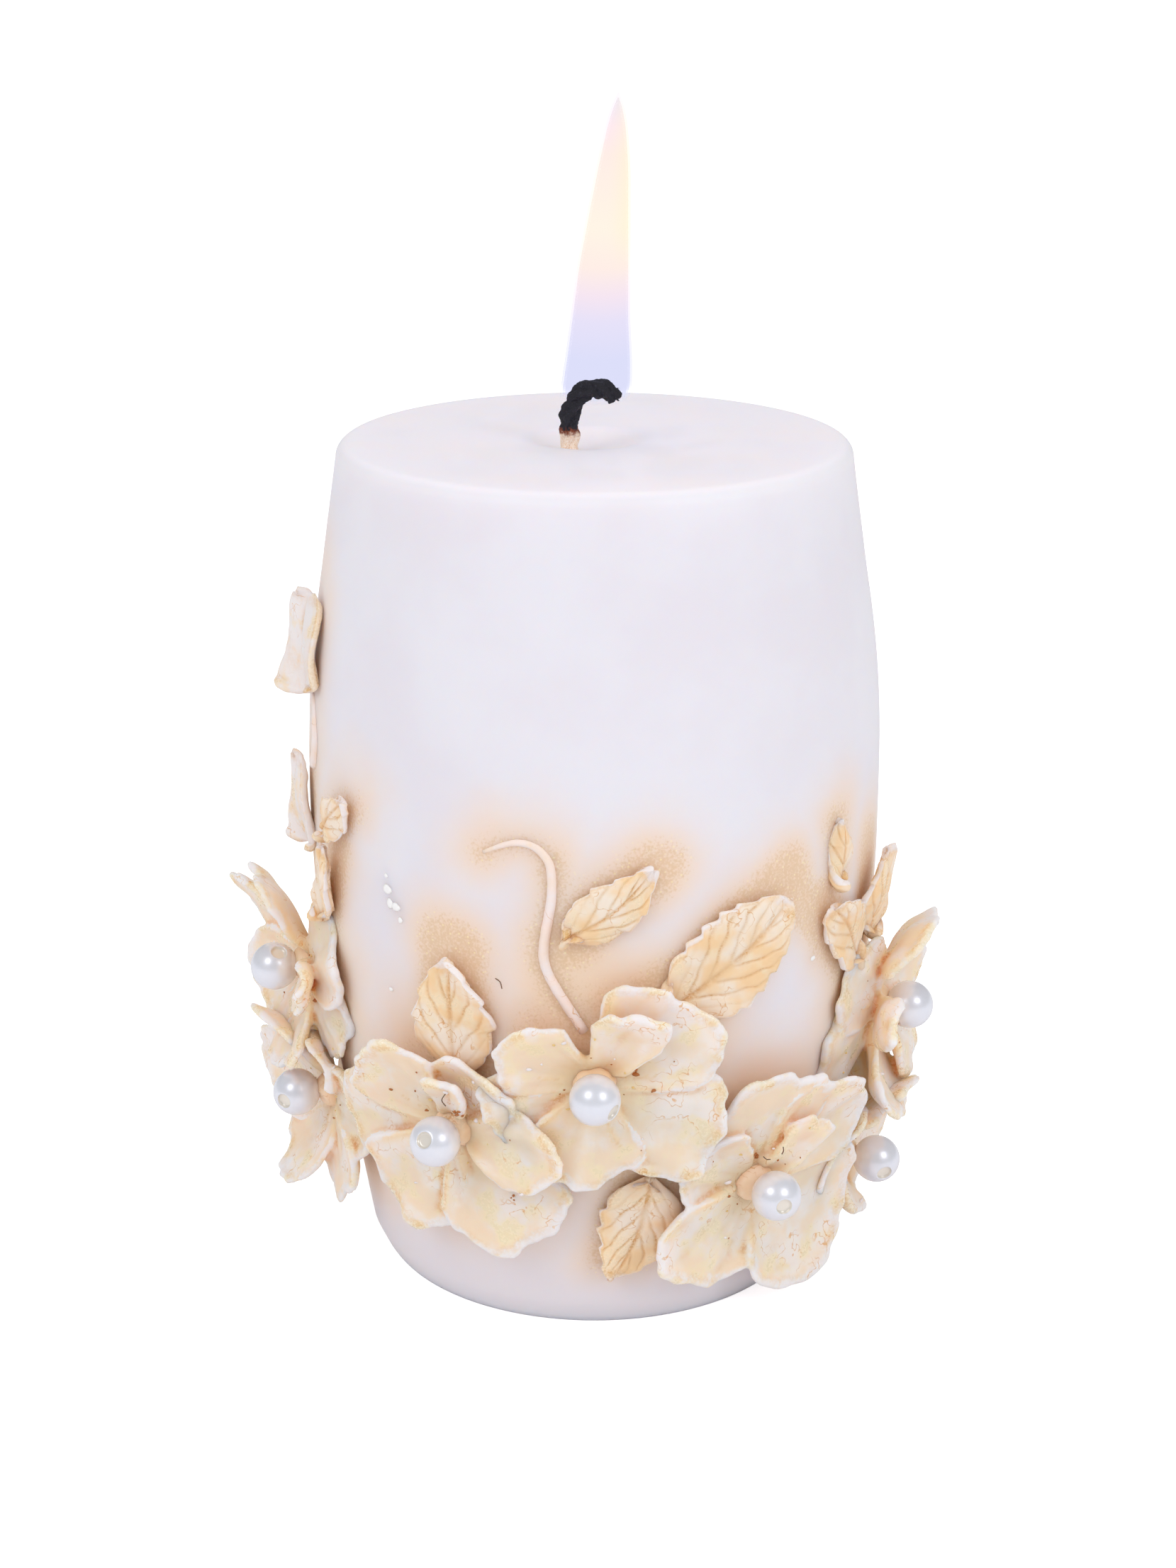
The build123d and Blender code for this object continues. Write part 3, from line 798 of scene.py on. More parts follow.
class GarlandSettings(bpy.types.PropertyGroup):
    petal_thickness: length_setting("Petal thickness", "How thick a petal is in its middle", 1.35 * MM)
    leaf_thickness: length_setting("Leaf thickness", "How thick a leaf is in its middle", 1.3 * MM)
    stem_radius: length_setting("Stem radius", "Half the width of a stem at its thick end", 0.66 * MM)
    petal_colour: colour_setting("Petal", "The pressed wax of the petals", "FFDDC6")
    petal_pale: colour_setting("Pale petal", "The clouding in the petals", "FEEAE2")
    leaf_colour: colour_setting("Leaf", "The pressed wax of the leaves", "FFD3A6")
    leaf_pale: colour_setting("Pale leaf", "The clouding in the leaves", "FDE8D6")
    stem_colour: colour_setting("Stem", "The rolled wax of the stems", "FBE8DB")
    # This colour is painted warm shade, for the wax deep in a flower.
    hollow_shade_colour: colour_setting("Hollow", "The wax deep in a flower", "F9D5AE")
    margin_colour: colour_setting("Worn edge", "The wax worn white at an edge", "F6F0F2")
    # The gold colour is rubbed-on gold painted as bright as its sheen: partly a painted highlight.
    gold_sheen_colour: colour_setting("Gold", "Pearlescent gold rubbed on the ridges", "FFE3C2")
    pigment_colour: colour_setting("Pigment", "Brown pigment caught in the creases", "DCA25C")
    spot_colour: colour_setting("Spots", "Darker spots of pigment", "B5703A")


class PearlSettings(bpy.types.PropertyGroup):
    radius: length_setting("Radius", "A pearl's radius", 3.0 * MM)
    hole_radius: length_setting("Hole radius", "The radius of the hole through a pearl", 0.95 * MM)
    nacre_colour: colour_setting("Nacre", "The pearl lacquer", "F4F6FE")
    nacre_shade: colour_setting("Nacre shade", "The clouding in the lacquer", "E9EDFA")
    bore_colour: colour_setting("Bore", "The wax that has filled the hole", "F6F0E6")


class WickSettings(bpy.types.PropertyGroup):
    strand_radius: length_setting("Strand radius", "The radius of one strand of the braid", 0.56 * MM)
    scorch_height: length_setting("Scorch height", "Where the cotton turns to char", 107.0 * MM)
    cotton_colour: colour_setting("Cotton", "The cotton at the foot", "FBEFE2")
    waxed_colour: colour_setting("Waxed cotton", "The cotton where wax has soaked in", "E3C19F")
    scorch_colour: colour_setting("Scorch", "The scorched band", "7A3B22")
    char_colour: colour_setting("Char", "The burnt end", "1B1A23")
    # On the wick this colour paints ash streaks on the char and painted highlights along its fibres.
    soot_colour: colour_setting("Soot", "The streaks of ash on the char", "3A3A4A")


class FlameSettings(bpy.types.PropertyGroup):
    clear_height: length_setting("Clear below", "Below this the flame can't be seen", 109.6 * MM)
    full_height: length_setting("Full above", "Above this the flame is as dense as it gets", 111.9 * MM)
    root_colour: colour_setting("Root", "The flame round the wick", "DDDFFA")
    haze_colour: colour_setting("Haze", "The flame just over the wick", "E7E2F9")
    blush_colour: colour_setting("Blush", "The change from the root to the glow", "F6E6F2")
    warm_colour: colour_setting("Warm", "The flame below and above its bright middle", "FFEEE7")
    glow_colour: colour_setting("Glow", "The flame's bright middle", "FFF5E6")
    rose_colour: colour_setting("Rose", "The flame under its point", "FFEAF1")
    soot_colour: colour_setting("Soot glow", "The yellow side of the flame", "FFF5D2")
    tip_colour: colour_setting("Tip", "The flame's point", "EEE7F9")


class StageSettings(bpy.types.PropertyGroup):
    floor_colour: colour_setting("Floor", "The table top", "F4F3F5")
    floor_glow: bpy.props.FloatProperty(
        name="Floor glow", description="How far the floor is lifted to white", default=0.62, min=0.0
    )
    sky_strength: bpy.props.FloatProperty(
        name="Soft light", description="Strength of the even light all round", default=0.80, min=0.0
    )
    gloss_drop: bpy.props.FloatProperty(
        name="Gloss drop", description="How much darker reflections see it", default=0.4, min=0.0
    )
    key_power: bpy.props.FloatProperty(
        name="Soft boxes", description="Power of each soft box", default=0.75, min=0.0, unit="POWER"
    )


SETTINGS = {
    "candle_body": CandleBodySettings,
    "candle_garland": GarlandSettings,
    "candle_pearls": PearlSettings,
    "candle_wick": WickSettings,
    "candle_flame": FlameSettings,
    "candle_stage": StageSettings,
}


# ---- The wax body ----


def body_outline():
    """The body's half section from the middle of the base to the middle of the top, in metres."""
    base = [(radius, 0.0) for radius in np.linspace(0, SIDE_RADII[0] - 0.5, 8)]
    foot = [(SIDE_RADII[0] - 0.15, 0.05), (SIDE_RADII[0] + 0.05, 0.3)]
    heights = np.linspace(0.9, BODY_HEIGHT - RIM_ROUNDING, 120)
    side = list(zip(side_radius(heights), heights))
    rim_radius = side[-1][0] - RIM_ROUNDING
    turns = np.radians(np.linspace(10, 90, 9))
    rim = [
        (rim_radius + RIM_ROUNDING * math.cos(turn), BODY_HEIGHT - RIM_ROUNDING * (1 - math.sin(turn)))
        for turn in turns
    ]
    top = [(radius, BODY_HEIGHT) for radius in np.linspace(rim_radius - 0.6, 0, 44)]
    return [(radius * MM, height * MM) for radius, height in base + foot + side + rim + top]


def relief_distance(azimuths, heights, to_flowers):
    """How far points on the wax are from the nearest flower, or else leaf or stem, in millimetres."""
    radius = float(side_radius(np.array(GARLAND_HEIGHT)))
    nearest = np.full(len(azimuths), 1000.0)

    def note_run(start, end, half_width):
        middle = (start[0] + end[0]) / 2
        turn = (azimuths - middle + 180) % 360 - 180
        x, y = np.radians(turn) * radius, heights
        x0, x1 = (math.radians(place[0] - middle) * radius for place in (start, end))
        along = np.array([x1 - x0, end[1] - start[1]])
        share = ((x - x0) * along[0] + (y - start[1]) * along[1]) / max(float(along @ along), 1e-6)
        share = np.clip(share, 0, 1)
        gap = np.hypot(x - x0 - share * along[0], y - start[1] - share * along[1]) - half_width
        np.minimum(nearest, gap, out=nearest)

    if to_flowers:
        for name in FLOWERS:
            azimuth, height, *_ = flower_place(name)
            note_run((azimuth, height), (azimuth, height), FLOWER_REACH)
        return nearest
    for azimuth, height, direction, length, width, *_ in LEAVES.values():
        turn = math.radians(direction)
        tip = azimuth + math.degrees(length * math.cos(turn) / radius), height + length * math.sin(turn)
        note_run((azimuth, height), tip, 0.3 * width)
    for route in STEMS.values():
        for start, end in zip(route, route[1:]):
            note_run(start, end, 0.3)
    return nearest


class CANDLE_OT_cast_body(bpy.types.Operator):
    """Spin the barrel-shaped body, melt the pool into its top and dust it round the garland"""

    bl_idname = "candle.cast_body"
    bl_label = "Cast wax body"

    def execute(self, context):
        settings = context.scene.candle_body
        body = spin_outline("candle_wax", body_outline(), 288)
        points = points_of(body) / MM
        radius = np.hypot(points[:, 0], points[:, 1])
        outwards = points[:, :2] / np.maximum(radius, 1e-6)[:, None]
        on_side = step(1.0, 5.0, points[:, 2]) * step(BODY_HEIGHT + 0.5, BODY_HEIGHT - 4, points[:, 2])
        uneven = rough(points * MM, 24, 1) + 0.35 * rough(points * MM, 7, 2)
        points[:, :2] += outwards * (on_side * uneven * settings.unevenness / MM)[:, None]
        on_top = step(BODY_HEIGHT - 0.6, BODY_HEIGHT - 0.05, points[:, 2])
        from_pool = np.hypot(points[:, 0] - POOL_X, points[:, 1]) / POOL_RADIUS
        from_wick = np.hypot(points[:, 0] - WICK_X, points[:, 1] - WICK_Y)
        pool = np.where(from_pool < 1, 1 - from_pool**2, 0) ** 0.7
        sag = 0.12 * rough(points * MM, 9, 3) * step(31, 22, radius)
        meniscus = 0.2 * np.exp(-((from_wick / 1.9) ** 2))
        points[:, 2] += on_top * (sag + meniscus - POOL_DEPTH * pool)
        set_points(body, points * MM)

        azimuths = np.degrees(np.arctan2(points[:, 0], -points[:, 1]))
        side_only = 1 - on_top
        blur = rough(points * MM, 7, 4)
        low = step(4, 12, points[:, 2])
        flowers = relief_distance(azimuths, points[:, 2], True)
        sprigs = relief_distance(azimuths, points[:, 2], False)
        # Painted warm glow: the wax near the flowers and sprigs is tinted as if lit by the warm light
        # that they throw back onto it.
        warm = np.maximum(step(17, 0, flowers + 2.0 * blur), 0.6 * step(9, 0, sprigs + 1.5 * blur))
        paint(body, "garland_glow", side_only * low * warm)
        dusted = 0.7 * step(5, 0, flowers + 1.5 * blur)
        dusted = np.maximum(dusted, step(4.5, -0.5, sprigs + 1.2 * blur))
        paint(body, "dust", side_only * low * dusted * step(74, 62, points[:, 2]))
        # Painted shade: the wax darkens towards the foot.
        paint(body, "foot", side_only * step(15, 5, points[:, 2]))
        paint(body, "top", on_top)
        paint(body, "pool", on_top * step(1.15, 0.75, from_pool))
        seat_piece(body, cast_wax(settings), "wax_body", "candle_body")
        return {"FINISHED"}


# ---- The garland ----


def grid_sheet(columns, rows):
    """A flat sheet, with each vertex's place across it (-1 to 1) and along it (0 to 1)."""
    clear_selection()
    bpy.ops.mesh.primitive_grid_add(x_subdivisions=columns, y_subdivisions=rows, size=1)
    sheet = bpy.context.object
    places = points_of(sheet)
    return sheet, places[:, 0] * 2, places[:, 1] + 0.5


def thicken(sheet, thickness, across, along, edge_share):
    """Gives a sheet its thickness, thinner towards its edges, and rounds it."""
    group = sheet.vertex_groups.new(name="thick")
    margin = np.minimum(1 - np.abs(across), 1 - along)
    weights = edge_share + (1 - edge_share) * step(0, 0.22, margin)
    for index, weight in enumerate(weights):
        group.add([index], float(weight), "REPLACE")
    tapered = {"offset": -1.0, "vertex_group": "thick", "use_even_offset": False}
    apply_modifier(sheet, "SOLIDIFY", thickness=thickness, **tapered)
    apply_modifier(sheet, "SUBSURF", levels=1, render_levels=1)
    sheet.vertex_groups.clear()


def lay_on_wax(obj, azimuth, height):
    """Wraps a piece made flat (x right, y up, z off the wax) round the candle at a place."""
    points = points_of(obj) / MM
    heights = height + points[:, 1]
    around = azimuth + np.degrees(points[:, 0] / side_radius(heights))
    set_points(obj, on_wax(around, heights, points[:, 2]))


def press_petal(direction, reach, spread, cup, lift, settings, seed):
    """One cupped petal round the flower's middle, made flat."""
    chance = random.Random(seed)
    petal, across, along = grid_sheet(30, 26)
    first, second, third = (chance.uniform(0, math.tau) for _ in range(3))
    lean = chance.uniform(-0.2, 0.2)
    edge = 1 - 0.26 * np.abs(across - lean * (1 - across**2)) ** 2.6
    edge += 0.035 * np.sin(4.6 * across + first) + 0.02 * np.sin(11 * across + second)
    edge += 0.012 * np.sin(27 * across + third)
    for _ in range(2):
        notch_at, deep = chance.uniform(-0.8, 0.8), chance.uniform(0.0, 0.07)
        edge -= deep * np.exp(-(((across - notch_at) / 0.08) ** 2))
    root = 1.2
    radius = root + (reach * edge - root) * along
    fan = math.radians(spread) * (1.06 - 0.1 * along)
    angle = math.radians(direction) - across * fan
    x, y = radius * np.cos(angle), radius * np.sin(angle)
    outer = step(0.3, 1.0, along)
    ruffle = 0.6 * np.sin(2.6 * across + second) + 0.3 * np.sin(6.5 * across + third)
    curl = chance.uniform(-0.3, 1.0)
    fold_at, fold = chance.uniform(-0.5, 0.5), chance.uniform(0.2, 0.9)
    height = (
        2.0
        + cup * (radius / reach) ** 2
        + 0.5 * across**2 * np.sin(math.pi * np.clip(along, 0, 1)) ** 0.8
        + 0.5 * across * step(0.05, 0.6, along)
        + 0.7 * outer * ruffle
        + fold * outer * np.exp(-(((across - fold_at) / 0.22) ** 2))
        + curl * step(0.74, 1.0, along) ** 1.4
        + lift * step(0.0, 0.35, along)
    )
    set_points(petal, np.stack([x, y, height], axis=-1) * MM)
    paint(petal, "across", across)
    paint(petal, "along", along)
    thicken(petal, settings.petal_thickness, across, along, 0.62)
    points, normals = points_of(petal), normals_of(petal)
    across, along = painted(petal, "across"), painted(petal, "along")
    ribs = np.sin(15 * across + 2.0 * along + first) * (0.5 + 0.5 * np.sin(4 * across + third))
    seams, swell = rough(points, 1.3, seed), rough(points, 3.6, seed + 50)
    dent = 0.1 * ribs * step(0.06, 0.3, along) * step(1.0, 0.7, along) + 0.08 * seams + 0.28 * swell
    set_points(petal, points + normals * (dent * MM)[:, None])
    inset = np.minimum(1 - np.abs(across), 1 - along)
    paint(petal, "margin", step(0.2, 0.0, inset + 0.06 * swell) * step(0.25, 0.8, along))
    paint(petal, "outline", 0.5 * step(0.02, 0.05, inset) * step(0.13, 0.07, inset))
    # Painted warm shade near the petal's root and in the creases along its sides.
    side_crease_shade = step(0.3, 0.02, 1 - np.abs(across)) * step(0.95, 0.6, along)
    paint(petal, "hollow_shade", np.maximum(step(0.55, 0.1, along + 0.12 * swell), 0.85 * side_crease_shade))
    paint(petal, "gilding", step(0.08, 0.3, along))
    return petal


class CANDLE_OT_press_flowers(bpy.types.Operator):
    """Press each flower's petals and set them round a dab of wax"""

    bl_idname = "candle.press_flowers"
    bl_label = "Press flowers"

    def execute(self, context):
        settings = context.scene.candle_garland
        petal, pale, hollow_shade = settings.petal_colour, settings.petal_pale, settings.hollow_shade_colour
        petal_wax = pressed_wax(settings, "pressed_wax_petals", petal, pale, 0.8)
        # The dab under the pearl is painted all over with the warm shade of the flower's middle.
        seat_wax = pressed_wax(settings, "pressed_wax_seats", hollow_shade, petal, 0.3)
        for number, (name, (_, petals)) in enumerate(FLOWERS.items()):
            azimuth, height, *_ = flower_place(name)
            first = 100 + 10 * number
            made = [press_petal(*sizes, settings, first + i) for i, sizes in enumerate(petals)]
            flower = join_pieces(made, f"flower_{name}_blossom")
            self.weld(flower)
            lay_on_wax(flower, azimuth, height)
            seat_piece(flower, petal_wax, "wax_petals", f"flower_{name}_petals")
            dab = self.press_dab(name, number)
            lay_on_wax(dab, azimuth, height)
            seat_piece(dab, seat_wax, "wax_seats", f"flower_{name}_seat")
        return {"FINISHED"}

    def weld(self, flower):
        """Melts a flower's petals into one skin, which keeps what was painted on them."""
        kept = {name: painted(flower, name) for name in ("margin", "outline", "hollow_shade", "gilding")}
        petals = kdtree.KDTree(len(flower.data.vertices))
        for index, point in enumerate(points_of(flower)):
            petals.insert(point, index)
        petals.balance()
        apply_modifier(flower, "REMESH", mode="VOXEL", voxel_size=PETAL_VOXEL * MM)
        apply_modifier(flower, "SMOOTH", factor=0.5, iterations=3)
        nearest = np.array([petals.find(point)[1] for point in points_of(flower)])
        for name, values in kept.items():
            paint(flower, name, values[nearest])
        mark_relief(flower)

    def press_dab(self, name, number):
        """The lumpy dab of wax that holds the pearl."""
        clear_selection()
        bpy.ops.mesh.primitive_uv_sphere_add(segments=40, ring_count=24, radius=1)
        dab = name_piece(bpy.context.object, f"flower_{name}_dab")
        points = points_of(dab)
        lumpy = 1 + 0.12 * rough(points * 3 * MM, 1.4, 300 + number)
        points = points * 2.5 * lumpy[:, None] + np.array([0, 0, 1.6])
        set_points(dab, points * MM)
        paint(dab, "margin", np.zeros(len(points)))
        paint(dab, "crease", np.zeros(len(points)))
        # Painted warm shade over half of the dab.
        paint(dab, "hollow_shade", np.full(len(points), 0.5))
        paint(dab, "ridge", np.full(len(points), 0.5))
        paint(dab, "gilding", step(0.5, 2.5, points[:, 2]))
        return dab


def press_leaf(name, azimuth, height, direction, length, width, stand_off, teeth, settings, seed):
    """One toothed and veined leaf, laid on the wax."""
    off_tip, off_left, off_right = stand_off
    chance = random.Random(seed)
    leaf, across, along = grid_sheet(30, 40)
    bend = chance.uniform(-0.1, 0.1)
    first, second = chance.uniform(0, math.tau), chance.uniform(0, math.tau)
    half = 0.5 * width * np.sin(math.pi * np.clip(along, 0, 1) ** 0.8) ** 0.62
    tooth = (along * teeth * 1.15) % 1.0
    half *= 1 - 0.17 * tooth * step(0.12, 0.3, along) * step(1.0, 0.86, along)
    half *= 1 + 0.05 * np.sin(9 * along + first + 2 * np.sign(across))
    left_start = (0.0, 0.25)
    if teeth == 0:
        left_start = (-0.02, 0.0)
        half = 0.5 * width * np.sqrt(np.maximum(1 - along**5, 0)) * step(-0.03, 0.02, along)
        off_left = off_left * (1.08 - 0.35 * along**1.6)
    half = np.maximum(half, 0.12)
    forward = along * length + 0.10 * length * np.abs(across) ** 1.5 * (1 - along)
    sideways = across * half + bend * length * np.sin(math.pi * along)
    turn = math.radians(direction)
    x = forward * math.cos(turn) + sideways * math.sin(turn)
    y = forward * math.sin(turn) - sideways * math.cos(turn)
    lift = (
        1.0
        + 0.6 * (1 - across**2) * np.sin(math.pi * along)
        + 0.35 * np.sin(4.5 * along + 2 * across + first)
        + 0.3 * across * np.sin(6 * along + second)
        + off_tip * step(0.2, 1.0, along)
        + off_left * step(0.1, -0.9, across) * step(*left_start, along)
        + off_right * step(-0.1, 0.9, across) * step(0.0, 0.25, along)
    )
    set_points(leaf, np.stack([x, y, lift], axis=-1) * MM)
    paint(leaf, "across", across)
    paint(leaf, "along", along)
    thicken(leaf, settings.leaf_thickness, across, along, 0.55)
    points, normals = points_of(leaf), normals_of(leaf)
    across, along = painted(leaf, "across"), painted(leaf, "along")
    midrib = np.exp(-((across / 0.07) ** 2)) * step(1.0, 0.85, along)
    run = (along - 0.42 * np.abs(across)) * (teeth + 0.5)
    side_vein = np.exp(-((np.abs(run - np.round(run)) / 0.10) ** 2)) * step(-0.2, 0.3, run)
    side_vein *= step(1.0, 0.8, np.abs(across)) * step(1.0, 0.8, along)
    vein = np.maximum(midrib, 0.75 * side_vein)
    seams = rough(points, 1.3, seed)
    set_points(leaf, points + normals * ((0.09 * seams - 0.26 * vein) * MM)[:, None])
    inset = np.minimum(1 - np.abs(across), 1 - along)
    paint(leaf, "margin", np.maximum(step(0.14, 0.0, inset + 0.05 * seams), 0.8 if teeth == 0 else 0.0))
    edging = 0.6 * step(0.02, 0.05, inset) * step(0.14, 0.08, inset)
    paint(leaf, "outline", np.maximum(edging, 0.9 * vein))
    # Painted warm shade at the leaf's foot and in its pressed veins.
    paint(leaf, "hollow_shade", 0.35 * step(0.35, 0.0, along) + 0.25 * vein)
    paint(leaf, "gilding", np.full(len(points), 1.0))
    mark_relief(leaf)
    lay_on_wax(leaf, azimuth, height)
    return name_piece(leaf, name)


class CANDLE_OT_press_leaves(bpy.types.Operator):
    """Press the leaves and lay them on the wax"""

    bl_idname = "candle.press_leaves"
    bl_label = "Press leaves"

    def execute(self, context):
        settings = context.scene.candle_garland
        body, pale = settings.leaf_colour, settings.leaf_pale
        leaf_wax = pressed_wax(settings, "pressed_wax_leaves", body, pale, 0.4)
        for number, (name, sizes) in enumerate(LEAVES.items()):
            leaf = press_leaf(f"{name}_wax", *sizes, settings, 500 + number)
            seat_piece(leaf, leaf_wax, "wax_leaves", name)
        return {"FINISHED"}


class CANDLE_OT_roll_stems(bpy.types.Operator):
    """Roll the stems and tendrils and press them into the wax"""

    bl_idname = "candle.roll_stems"
    bl_label = "Roll stems"

    def execute(self, context):
        settings = context.scene.candle_garland
        body, pale = settings.stem_colour, settings.petal_pale
        stem_wax = pressed_wax(settings, "rolled_wax_stems", body, pale, 0.05)
        for number, (name, route) in enumerate(STEMS.items()):
            stem = self.roll(f"{name}_wax", route, settings.stem_radius)
            points = points_of(stem)
            lumps = 0.06 * rough(points, 1.2, 700 + number) * MM
            set_points(stem, points + normals_of(stem) * lumps[:, None])
            paint(stem, "margin", np.full(len(points), 0.5))
            paint(stem, "crease", np.full(len(points), 0.05))
            paint(stem, "hollow_shade", np.zeros(len(points)))
            paint(stem, "ridge", np.full(len(points), 0.5))
            paint(stem, "gilding", 0.1 + 0.9 * step(63, 66, points[:, 2] / MM))
            seat_piece(stem, stem_wax, "wax_leaves", name)
        return {"FINISHED"}

    def roll(self, name, route, thick_radius):
        """A tapering roll along the route, half sunk in the wax."""
        places = [on_wax(azimuth, height, -0.1) for azimuth, height in route]
        radii = [1.0 - 0.6 * (index / (len(route) - 1)) ** 3 for index in range(len(route))]
        return roll_tube(name, "NURBS", places, radii, thick_radius, 5, steps=8)


class CANDLE_OT_scatter_crumbs(bpy.types.Operator):
    """Scatter crumbs of pigment, gold and wax in the flowers, and the scrapings and hairs on the wax"""

    bl_idname = "candle.scatter_crumbs"
    bl_label = "Scatter crumbs"

    def execute(self, context):
        settings = context.scene.candle_garland
        kinds = {
            "pigment": (bare_wax("pigment_crumbs", settings.spot_colour[:]), 9, 0.17),
            "gold": (bare_wax("gold_powder_crumbs", linear("F0CF8C")), 8, 0.16),
            "wax": (bare_wax("broken_wax_crumbs", settings.margin_colour[:]), 6, 0.24),
        }
        grain = self.break_crumb()
        for number, (kind, (material, count, size)) in enumerate(kinds.items()):
            crumbs = []
            for flower_number, name in enumerate(FLOWERS):
                chance = random.Random(900 + 40 * number + flower_number)
                for _ in range(count):
                    turn, far = chance.uniform(0, math.tau), chance.uniform(3.2, 5.2)
                    if chance.random() < 0.4:
                        far = chance.uniform(5.5, 12.0)
                    offset = (far * math.cos(turn), far * math.sin(turn))
                    crumbs.append(self.drop_crumb(context, grain, name, offset, size, chance))
            if kind == "pigment":
                chance = random.Random(77)
                for name, aside, above, many in CLUSTERS:
                    for _ in range(many):
                        offset = (aside + chance.uniform(-0.7, 0.7), above + chance.uniform(-0.5, 0.5))
                        crumbs.append(self.drop_crumb(context, grain, name, offset, 1.4 * size, chance))
            seat_piece(join_pieces(crumbs, f"crumbs_of_{kind}"), material, "wax_petals")
        scrapings = [self.smear(context, grain, *place) for place in SCRAPINGS]
        white = bare_wax("scraped_wax", (1.0, 1.0, 1.0))
        seat_piece(join_pieces(scrapings, "scrapings_on_wax"), white, "wax_body")
        bpy.data.objects.remove(grain, do_unlink=True)
        hairs = [self.lay_hair(f"hair_{i}", *hair) for i, hair in enumerate(HAIRS)]
        cotton = bare_wax("dyed_cotton_fibre", linear("7A5A44"))
        seat_piece(join_pieces(hairs, "stray_hairs"), cotton, "wax_body")
        return {"FINISHED"}

    def break_crumb(self):
        """One broken crumb about a unit across, which the others are copied from."""
        clear_selection()
        bpy.ops.mesh.primitive_ico_sphere_add(subdivisions=2, radius=1)
        grain = name_piece(bpy.context.object, "crumb_pattern")
        points = points_of(grain)
        set_points(grain, points * (1 + 0.45 * rough(points * MM, 0.9, 8))[:, None])
        return grain

    def copy_of(self, context, grain, points):
        crumb = grain.copy()
        crumb.data = grain.data.copy()
        context.collection.objects.link(crumb)
        set_points(crumb, points)
        return crumb

    def drop_crumb(self, context, grain, name, offset, size, chance):
        """Drops a crumb onto whatever petal lies under a place offset from the flower's pearl."""
        azimuth, height, right, up, out = flower_place(name)
        flower = bpy.data.objects[f"flower_{name}_blossom"]
        start = Vector(on_wax(azimuth, height, DROP_HEIGHT)) + (right * offset[0] + up * offset[1]) * MM
        found, place, _, _ = flower.ray_cast(start, -out)
        if not found:
            place = Vector(on_wax(azimuth, height, REST_HEIGHT))
        spin = Vector([chance.uniform(-1, 1) for _ in range(3)]).to_track_quat("Z", "Y").to_matrix()
        grow = size * chance.uniform(0.5, 1.3) * MM
        stretch = np.array([chance.uniform(0.8, 2.0), 1.0, 0.7])
        points = (points_of(grain) * stretch * grow) @ np.array(spin).T + np.array(place)
        return self.copy_of(context, grain, points)

    def smear(self, context, grain, azimuth, height, wide, tall):
        """A thin white scraping pressed flat on the wax."""
        crumb = self.copy_of(context, grain, points_of(grain) * np.array([wide, tall, 0.09]) * MM)
        lay_on_wax(crumb, azimuth, height)
        return crumb

    def lay_hair(self, name, azimuth, height, lift, direction, length, bend):
        """A short bent fibre lying on the wax."""
        places, turn = [], math.radians(direction)
        for share in (0, 0.35, 0.7, 1):
            along, aside = length * share, bend * math.sin(math.pi * share * 1.3)
            x = along * math.cos(turn) - aside * math.sin(turn)
            y = along * math.sin(turn) + aside * math.cos(turn)
            around = azimuth + math.degrees(x / GARLAND_RADIUS)
            places.append(on_wax(around, height + y, lift))
        return roll_tube(name, "NURBS", places, [1.0] * 4, 0.07 * MM, 1)


class CANDLE_OT_set_pearls(bpy.types.Operator):
    """Turn the drilled pearls and set one in each flower"""

    bl_idname = "candle.set_pearls"
    bl_label = "Set pearls"

    def execute(self, context):
        settings = context.scene.candle_pearls
        lacquer = pearl_nacre(settings)
        pattern = self.turn_pearl(settings)
        for name, ((hole_right, hole_up), _) in FLOWERS.items():
            pearl = pattern.copy()
            pearl.data = pattern.data.copy()
            context.collection.objects.link(pearl)
            name_piece(pearl, f"flower_{name}_bead")
            low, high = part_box(f"flower_{name}_pearl")
            middle = (Vector(low) + Vector(high)) / 2
            _, _, right, up, out = flower_place(name)
            hole_out = math.sqrt(1 - hole_right**2 - hole_up**2)
            hole = (right * hole_right + up * hole_up + out * hole_out).normalized()
            turn = hole.to_track_quat("Z", "Y").to_matrix()
            set_points(pearl, points_of(pearl) @ np.array(turn).T + np.array(middle))
            seat_piece(pearl, lacquer, "pearl_beads", f"flower_{name}_pearl")
        bpy.data.objects.remove(pattern, do_unlink=True)
        return {"FINISHED"}

    def turn_pearl(self, settings):
        """A sphere drilled along Z, with soft rims, a fine mould seam and wax in its hole."""
        radius, hole = settings.radius, settings.hole_radius
        rounding = 0.12 * MM
        start = math.asin((hole + rounding) / radius)
        turns = np.linspace(start, math.pi - start, 45)
        skin = radius + 0.018 * MM * np.exp(-(((turns - 1.05) / 0.02) ** 2))
        outline = [(s * math.sin(turn), s * math.cos(turn)) for s, turn in zip(skin, turns)]
        top = radius * math.cos(start)
        softened = [(hole + 0.3 * rounding, top - 0.1 * rounding), (hole, top - rounding)]
        filled = [(share * hole, top - 3.5 * rounding) for share in (1.0, 0.66, 0.33, 0.0)]
        outline = filled[::-1] + softened[::-1] + outline
        outline += [(radius, -height) for radius, height in softened + filled]
        pearl = spin_outline("pearl_pattern", outline, 64)
        points = points_of(pearl)
        paint(pearl, "bore", step(hole * 1.04, hole * 1.01, np.hypot(points[:, 0], points[:, 1])))
        return pearl


# ---- The wick and the flame ----


